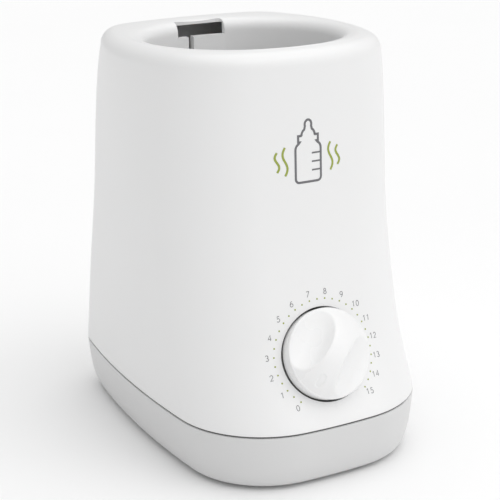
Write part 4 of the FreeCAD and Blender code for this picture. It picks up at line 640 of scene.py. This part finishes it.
def nodeCentres(node):
    # plan centres of the separate pieces of a node
    work = bmesh.new()
    work.from_mesh(frame["nodes"][node].data)
    bmesh.ops.remove_doubles(work, verts=work.verts, dist=1e-6)
    waiting = set(work.verts)
    centres = []
    while waiting:
        island = [waiting.pop()]
        for vertex in island:
            for edge in vertex.link_edges:
                other = edge.other_vert(vertex)
                if other in waiting:
                    waiting.remove(other)
                    island.append(other)
        spots = np.array([vertex.co[:2] for vertex in island])
        centres.append(tuple((spots.min(axis=0) + spots.max(axis=0)) / 2))
    work.free()
    return centres


def basePlan(inset):
    return planOutline(halfWidth, halfDepth, halfDepth, housing["lowArcs"], inset)


def baseRings(foot, top):
    middle = foot + (top - foot) * base["middleShare"]
    taperAt = smoothTrack([foot, middle, top], [base["taper"], base["taper"] * base["middleTaper"], 0])
    edge = base["edgeRound"]
    wall = base["wall"]
    seamEdge = housing["seamEdge"]
    rings = []
    for angle in np.radians(np.linspace(0, 90, 9)):
        height = foot + edge * (1 - math.cos(angle))
        rings.append(raised(basePlan(taperAt(height) + edge * (1 - math.sin(angle))), height))
    for height in np.linspace(foot + edge, top - seamEdge, base["wallRows"])[1:]:
        rings.append(raised(basePlan(taperAt(height)), height))
    rings.append(raised(basePlan(seamEdge * 0.3), top - seamEdge * 0.3))
    rings.append(raised(basePlan(seamEdge), top))
    rise, lipOuter, lipInner = base["lip"]
    rings.append(raised(basePlan(lipOuter), top))
    rings.append(raised(basePlan(lipOuter), seamTop + rise))
    rings.append(raised(basePlan(lipInner), seamTop + rise))
    ledgeDrop, ledgeInset = base["ledge"]
    rings.append(raised(basePlan(ledgeInset), top - ledgeDrop))
    rings.append(raised(basePlan(wall + taperAt(top - ledgeDrop)), top - ledgeDrop - 0.0005))
    for height in np.linspace(top - ledgeDrop - 0.001, foot + wall, 12):
        rings.append(raised(basePlan(wall + taperAt(height)), height))
    return rings


def basePosts(floorTop, lipTop):
    # posts to add and holes to cut, for the case, pump and board screws
    additions = []
    cuts = []
    sunkFoot = floorTop - base["sunk"]
    wellRadius, wellTop = base["screwWell"]
    for x, y in nodeCentres("case_screws"):
        additions.append(prism(circleOutline(x, y, base["screwPost"]), sunkFoot, lipTop))
        cuts.append(prism(circleOutline(x, y, wellRadius), 0, wellTop))
        cuts.append(prism(circleOutline(x, y, base["screwHole"], 32), wellTop - 0.001, lipTop + 0.001))
    for node, holder, radius in base["posts"]:
        for x, y in nodeCentres(node):
            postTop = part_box(holder)[0][2] - 0.00001
            additions.append(prism(circleOutline(x, y, radius, 32), sunkFoot, postTop))
            hole = circleOutline(x, y, base["postHole"], 24)
            cuts.append(prism(hole, floorTop - 0.0004, base["postHoleTop"]))
    return additions, cuts


def ventOutline(x, y):
    length, width = base["ventSize"]
    bend = width / 2
    return [(x + side * ((length - width) / 2 + bend * math.cos(a)), y + side * bend * math.sin(a))
            for side in (1, -1) for a in np.linspace(-math.pi / 2, math.pi / 2, 9)]


def baseHoles(floorTop):
    # seats for the feet, and the row of vents
    cuts = []
    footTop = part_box("rubber_feet")[1][2]
    for x, y in nodeCentres("rubber_feet"):
        cuts.append(prism(circleOutline(x, y, base["footHole"], 64), -0.001, footTop + 0.00005))
    middleX, middleY = base["ventCentre"]
    for index in range(base["ventCount"]):
        y = middleY + (index - (base["ventCount"] - 1) / 2) * base["ventPitch"]
        cuts.append(prism(ventOutline(middleX, y), 0, floorTop + 0.001))
    return cuts


def glandTools():
    radius, depth = base["glandWell"]
    low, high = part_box("cord_gland")
    level = (low[2] + high[2]) / 2
    turn = Matrix.Translation((0, halfDepth, level)) @ Matrix.Rotation(math.radians(90), 4, "X")
    boss = prism(circleOutline(0, 0, base["glandBoss"], 64), 0.0025, depth + 0.004)
    well = prism(circleOutline(0, 0, radius, 64), -0.005, depth)
    bore = prism(circleOutline(0, 0, base["glandBore"], 48), -0.005, 0.03)
    for tool in (boss, well, bore):
        tool.data.transform(turn)
    return boss, well, bore


def buildBase():
    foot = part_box("base_shell")[0][2]
    seam = frame["nodes"]["seam_gasket"]
    top = min((seam.matrix_world @ vertex.co).z for vertex in seam.data.vertices)
    floorTop = foot + base["wall"]
    rings = baseRings(foot, top)
    count = len(rings[0])
    faces = ringFaces(len(rings), count)
    faces.append(tuple(range(count)))
    faces.append(tuple((len(rings) - 1) * count + step for step in range(count)))
    shell = makeMesh("baseShell", np.concatenate(rings), faces, "case", finishes["base_white"])
    additions, cuts = basePosts(floorTop, seamTop + base["lip"][0])
    cuts += baseHoles(floorTop)
    boss, well, bore = glandTools()
    cutAway(shell, additions + [boss], "UNION")
    cutAway(shell, cuts + [well, bore])
    finishPiece(shell, "case", finishes["base_white"], 30)
    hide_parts("base_shell")
    return shell


baseShell = buildBase()
print("base ready")

knob = {
    "radius": 0.0218,
    "height": 0.0144,
    "skirt": 0.0055,
    "sink": 0.0014,
    "edgeRound": 0.0007,
    "sweep": 275.4,
    "ridgeHalf": 0.0050,
    "scoopRadius": 0.0140,
    "scoopFloor": 0.0050,
    "blend": 0.0007,  # softness of the ridge's edges
    "shellWall": 0.0024,
    "bore": (0.00305, 0.0104),  # radius, depth from the foot
    "footBevel": 0.0004,
    "shellDepth": 0.0030,
    "hubRadius": 0.0065,
    "markPlace": 0.0155,
    "markSize": (0.0018, 0.0030),  # half width, half length of the pointer's oval
    "markDepth": 0.00035,
    "scoopBowl": 0.28,  # how fast a scoop closes towards its ends
    "rings": 110,
    "segments": 288,
}


def softLeast(first, second, blend):
    # the lesser of two heights, rounded where they meet
    share = np.clip(0.5 + 0.5 * (second - first) / blend, 0, 1)
    return second + (first - second) * share - blend * share * (1 - share)


def knobTop(x, y):
    turn = math.radians(knob["sweep"] / 2)
    across = x * math.cos(turn) + y * math.sin(turn)
    along = -x * math.sin(turn) + y * math.cos(turn)
    rise = knob["height"] - knob["skirt"]
    domeRadius = (knob["radius"] ** 2 + rise ** 2) / (2 * rise)
    height = knob["height"] - domeRadius + np.sqrt(domeRadius ** 2 - x ** 2 - y ** 2)
    scoop = knob["scoopRadius"]
    middle = knob["ridgeHalf"] + scoop * 0.92
    for side in (-1, 1):
        off = np.hypot(across - side * middle, knob["scoopBowl"] * along)
        off = np.clip(off, 0, scoop * 0.999)
        floor = knob["scoopFloor"] + scoop - np.sqrt(scoop ** 2 - off ** 2)
        inside = side * across > middle - scoop * 0.99
        height = np.where(inside, softLeast(height, floor, knob["blend"]), height)
    halfAcross, halfAlong = knob["markSize"]
    reach = np.hypot(across / halfAcross, (along - knob["markPlace"]) / halfAlong)
    return height - knob["markDepth"] * np.clip((1.12 - reach) / 0.24, 0, 1)


def buildKnob():
    segments = knob["segments"]
    angles = np.linspace(0, 2 * math.pi, segments, endpoint=False)
    circle = np.column_stack([np.cos(angles), np.sin(angles)])
    edge = knob["edgeRound"]
    flat = knob["radius"] - edge
    rings = []
    for radius in flat * np.linspace(0, 1, knob["rings"])[1:] ** 0.9:
        x = radius * np.cos(angles)
        y = radius * np.sin(angles)
        rings.append(np.column_stack([x, y, knobTop(x, y)]))
    rim = rings[-1][:, 2]
    for turn in np.radians(np.linspace(15, 90, 6)):
        radius = flat + edge * math.sin(turn)
        rings.append(raised(radius * circle, rim - edge * (1 - math.cos(turn))))
    foot = -knob["sink"]
    hollowTop = foot + knob["shellDepth"]
    inner = knob["radius"] - knob["shellWall"]
    bore, boreTop = knob["bore"][0], foot + knob["bore"][1]
    bevel = knob["footBevel"]
    under = [(knob["radius"], foot + bevel), (knob["radius"] - bevel, foot),
             (inner, foot), (inner, hollowTop), (knob["hubRadius"], hollowTop),
             (knob["hubRadius"], foot), (bore, foot), (bore, boreTop)]
    for radius, height in under:
        rings.append(raised(radius * circle, height))
    summit = float(knobTop(np.array([0.0]), np.array([0.0]))[0])
    points = np.concatenate(rings + [[(0, 0, summit)], [(0, 0, boreTop)]])
    top = len(points) - 2
    faces = ringFaces(len(rings), segments)
    last = (len(rings) - 1) * segments
    for step in range(segments):
        after = (step + 1) % segments
        faces.append((top, step, after))
        faces.append((top + 1, last + after, last + step))
    placed = [dialPlace @ Vector(point) for point in points]
    piece = makeMesh("timerKnob", placed, faces, "knob", finishes["knob_white"], 40)
    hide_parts("timer_knob")


buildKnob()
print("knob ready")

printing = {
    "lift": 0.00006,  # the ink's outer face above the skin
    "sink": 0.00004,
    "dotRing": 0.0264,
    "dotRadius": 0.00042,
    "dotCount": 31,
    "numberRing": 0.0297,
    "numberHeight": 0.0026,
    "numberStroke": 0.00027,
    "numberGap": 0.0023,  # from one digit of a pair to the next
    "iconPlace": (-0.0005, 0.158),
    "iconStroke": 0.0011,
    "iconScale": 1.35,
}


def inkFinish(name, colour):
    material, tree, shader = newMaterial(name)
    patch = noiseNode(tree, 1500.0, 3, 0.6)
    tint = mixColour(tree, patch, colour, tuple(0.85 * c for c in colour[:3]) + (1,))
    tree.links.new(tint, shader.inputs["Base Color"])
    shader.inputs["Roughness"].default_value = 0.45
    return material


inkGreen = inkFinish("olivePrint", (0.34, 0.40, 0.07, 1))
inkGrey = inkFinish("greyPrint", (0.17, 0.17, 0.18, 1))


def arc(x, y, radiusX, radiusY, start, end, steps=18):
    angles = np.radians(np.linspace(start, end, steps))
    return [(x + radiusX * math.cos(a), y + radiusY * math.sin(a)) for a in angles]


def ring(x, y, radiusX, radiusY):
    return arc(x, y, radiusX, radiusY, 0, 345, 24) + ["closed"]


# each numeral is drawn in strokes inside a box 0.6 wide and 1 high
numerals = {
    "0": [ring(0.3, 0.5, 0.28, 0.5)],
    "1": [[(0.1, 0.78), (0.32, 1.0), (0.32, 0.0)]],
    "2": [arc(0.3, 0.72, 0.27, 0.28, 170, -38) + [(0.03, 0.0), (0.58, 0.0)]],
    "3": [arc(0.28, 0.75, 0.24, 0.25, 150, -90), arc(0.28, 0.25, 0.28, 0.25, 90, -150)],
    "4": [[(0.44, 0.0), (0.44, 1.0), (0.0, 0.28), (0.6, 0.28)]],
    "5": [[(0.54, 1.0), (0.15, 1.0), (0.1, 0.54)] + arc(0.27, 0.31, 0.3, 0.31, 120, -145)],
    "6": [ring(0.3, 0.29, 0.28, 0.29), arc(0.62, 0.34, 0.6, 0.72, 172, 112, 10)],
    "7": [[(0.02, 1.0), (0.57, 1.0), (0.2, 0.0)]],
    "8": [ring(0.3, 0.76, 0.22, 0.24), ring(0.3, 0.26, 0.28, 0.26)],
    "9": [ring(0.3, 0.71, 0.28, 0.29), arc(-0.02, 0.66, 0.6, 0.72, -8, -68, 10)],
}


class Skin:
    # drops flat artwork onto the housing along its frame's axis
    def __init__(self, shell):
        work = bmesh.new()
        work.from_mesh(shell.data)
        self.tree = BVHTree.FromBMesh(work)
        work.free()

    def drop(self, frameMatrix, x, y):
        start = frameMatrix @ Vector((x, y, 0.05))
        along = frameMatrix.to_3x3() @ Vector((0, 0, -1))
        spot, normal, _, _ = self.tree.ray_cast(start, along)
        return spot + normal * printing["lift"], spot - normal * printing["sink"]


skin = Skin(housingShell)


def inkPiece(name, parts, material):
    points = []
    faces = []
    for partPoints, partFaces in parts:
        shift = len(points)
        points += partPoints
        faces += [tuple(index + shift for index in face) for face in partFaces]
    mesh = bpy.data.meshes.new(name)
    mesh.from_pydata([tuple(point) for point in points], [], faces)
    piece = bpy.data.objects.new(name, mesh)
    bpy.context.scene.collection.objects.link(piece)
    work = bmesh.new()
    work.from_mesh(mesh)
    bmesh.ops.recalc_face_normals(work, faces=work.faces)
    work.to_mesh(mesh)
    work.free()
    mesh.materials.append(material)
    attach(piece, "case")


def strokePart(stroke, width, frameMatrix):
    closed = stroke[-1] == "closed"
    path = np.array([point for point in stroke if point != "closed"], float)
    before = np.roll(path, 1, axis=0) if closed else np.vstack([path[:1], path[:-1]])
    after = np.roll(path, -1, axis=0) if closed else np.vstack([path[1:], path[-1:]])
    into = path - before
    away = after - path
    into /= np.maximum(np.linalg.norm(into, axis=1, keepdims=True), 1e-12)
    away /= np.maximum(np.linalg.norm(away, axis=1, keepdims=True), 1e-12)
    heading = into + away
    heading /= np.maximum(np.linalg.norm(heading, axis=1, keepdims=True), 1e-12)
    normal = np.column_stack([-heading[:, 1], heading[:, 0]])
    straight = np.where(np.linalg.norm(into, axis=1) > 0.5, np.sum(heading * into, axis=1), 1)
    half = width / 2 / np.clip(straight, 0.55, 1)[:, None]
    points = []
    for left, right in zip(path + normal * half, path - normal * half):
        leftOut, leftIn = skin.drop(frameMatrix, *left)
        rightOut, rightIn = skin.drop(frameMatrix, *right)
        points += [leftOut, rightOut, rightIn, leftIn]
    faces = ringFaces(len(path), 4, closed)
    if not closed:
        last = 4 * (len(path) - 1)
        faces += [(0, 1, 2, 3), (last, last + 1, last + 2, last + 3)]
    return points, faces


def discPart(x, y, radius, frameMatrix, sides=14):
    rim = [skin.drop(frameMatrix, x + radius * math.cos(2 * math.pi * i / sides),
                     y + radius * math.sin(2 * math.pi * i / sides)) for i in range(sides)]
    points = [outer for outer, _ in rim] + [inner for _, inner in rim]
    faces = [tuple(range(sides)), tuple(range(sides, 2 * sides))]
    faces += [(i, (i + 1) % sides, sides + (i + 1) % sides, sides + i) for i in range(sides)]
    return points, faces


def scaled(stroke, scale, x, y):
    return [point if point == "closed" else (x + point[0] * scale, y + point[1] * scale) for point in stroke]


def printDial():
    dots = []
    strokes = []
    start = -knob["sweep"] / 2
    for index in range(printing["dotCount"]):
        angle = math.radians(start + knob["sweep"] * index / (printing["dotCount"] - 1))
        ringPlace = (math.sin(angle), math.cos(angle))
        dots.append(discPart(ringPlace[0] * printing["dotRing"], ringPlace[1] * printing["dotRing"],
                             printing["dotRadius"], dialPlace))
        if index % 2:
            continue
        label = str(index // 2)
        height = printing["numberHeight"]
        wide = 0.6 * height + printing["numberGap"] * (len(label) - 1)
        x = ringPlace[0] * printing["numberRing"] - wide / 2
        y = ringPlace[1] * printing["numberRing"] - height / 2
        for place, digit in enumerate(label):
            for stroke in numerals[digit]:
                strokes.append(strokePart(scaled(stroke, height, x + place * printing["numberGap"], y),
                                          printing["numberStroke"], dialPlace))
    inkPiece("dialDots", dots, inkGreen)
    inkPiece("dialNumbers", strokes, inkGrey)


def bottleOutline():
    # a plain feeding bottle, 10 wide and 22 high, foot at zero
    right = [(0, 0), (3.6, 0)] + arc(3.6, 1.4, 1.4, 1.4, -90, 0, 7) + [(5, 11.5)]
    right += arc(3.2, 11.5, 1.8, 2.2, 0, 70, 7) + [(3.2, 14.2), (3.9, 14.2), (3.9, 16.4), (2.6, 16.4)]
    right += arc(0.4, 16.4, 2.2, 2.4, 0, 60, 6) + arc(0, 20.2, 1.3, 1.6, -20, 90, 8)
    left = [(-x, y) for x, y in right[-2:0:-1]]
    return right + left + ["closed"]


def steamWave(x, foot, height, swing):
    return [(x + swing * math.sin(2 * math.pi * share), foot + height * share)
            for share in np.linspace(0, 1, 19)]


def printIcon():
    x, z = printing["iconPlace"]
    face = Matrix.Translation((x, -0.12, z)) @ Matrix.Rotation(math.radians(90), 4, "X")
    unit = printing["iconScale"] * mm
    place = (0.0, -11 * unit)
    outline = [strokePart(scaled(bottleOutline(), unit, *place), printing["iconStroke"], face)]
    marks = [[(1.4, y), (4.6, y)] for y in (4, 7, 10)]
    outline += [strokePart(scaled(mark, unit, *place), printing["iconStroke"] * 0.7, face) for mark in marks]
    waves = [steamWave(side * 9.0, 3, 10, 0.9) for side in (-1, 1)]
    waves += [steamWave(side * 12.0, 4.5, 7, 0.8) for side in (-1, 1)]
    inkPiece("bottleIcon", outline, inkGrey)
    parts = [strokePart(scaled(wave, unit, *place), printing["iconStroke"], face) for wave in waves]
    inkPiece("warmthIcon", parts, inkGreen)


printDial()
printIcon()
print("printing ready")

camera = {
    "azimuth": -27.76,
    "elevation": 17.62,
    "distance": 0.7085,
    "target": (-0.0004, -0.0083, 0.0933),
    "lens": 99.2,
    "roll": -1.21,
}


def buildCamera():
    azimuth = math.radians(camera["azimuth"])
    elevation = math.radians(camera["elevation"])
    back = Vector((math.sin(azimuth) * math.cos(elevation), -math.cos(azimuth) * math.cos(elevation),
                   math.sin(elevation)))
    data = bpy.data.cameras.new("camera")
    data.lens = camera["lens"]
    data.sensor_width = 36
    data.clip_start = 0.01
    item = bpy.data.objects.new("camera", data)
    item.location = Vector(camera["target"]) + back * camera["distance"]
    roll = Quaternion((0, 0, 1), math.radians(camera["roll"]))
    item.rotation_euler = (back.to_track_quat("Z", "Y") @ roll).to_euler()
    bpy.context.scene.collection.objects.link(item)
    bpy.context.scene.camera = item


studio = {
    "floorReach": 6.0,
    "fill": 0.56,
    "keyFrom": (0.5, -0.9, 0.75),
    "key": 0.58,
    "keySpread": 60,
    "topFrom": (0.15, -0.1, 1.0),
    "top": 1.3,
    "topSpread": 75,
}


def softSun(name, place, power, spread):
    data = bpy.data.lights.new(name, "SUN")
    data.energy = power
    data.angle = math.radians(spread)
    item = bpy.data.objects.new(name, data)
    item.rotation_euler = Vector(place).to_track_quat("Z", "Y").to_euler()
    bpy.context.scene.collection.objects.link(item)


def buildStage():
    reach = studio["floorReach"]
    corners = [(-reach, -reach, 0), (reach, -reach, 0), (reach, reach, 0), (-reach, reach, 0)]
    floor = bpy.data.meshes.new("floor")
    floor.from_pydata(corners, [], [(0, 1, 2, 3)])
    item = bpy.data.objects.new("floor", floor)
    bpy.context.scene.collection.objects.link(item)
    material, tree, shader = newMaterial("paleFloor")
    tint = mixColour(tree, noiseNode(tree, 3.0), grey(0.93), grey(0.91))
    tree.links.new(tint, shader.inputs["Base Color"])
    shader.inputs["Roughness"].default_value = 0.9
    floor.materials.append(material)
    world = bpy.data.worlds.new("studio")
    world.use_nodes = True
    world.node_tree.nodes["Background"].inputs["Color"].default_value = (1, 1, 1, 1)
    world.node_tree.nodes["Background"].inputs["Strength"].default_value = studio["fill"]
    bpy.context.scene.world = world
    softSun("keyLight", studio["keyFrom"], studio["key"], studio["keySpread"])
    softSun("topLight", studio["topFrom"], studio["top"], studio["topSpread"])
    bpy.context.scene.view_settings.view_transform = "Standard"


buildCamera()
buildStage()
print("stage ready")
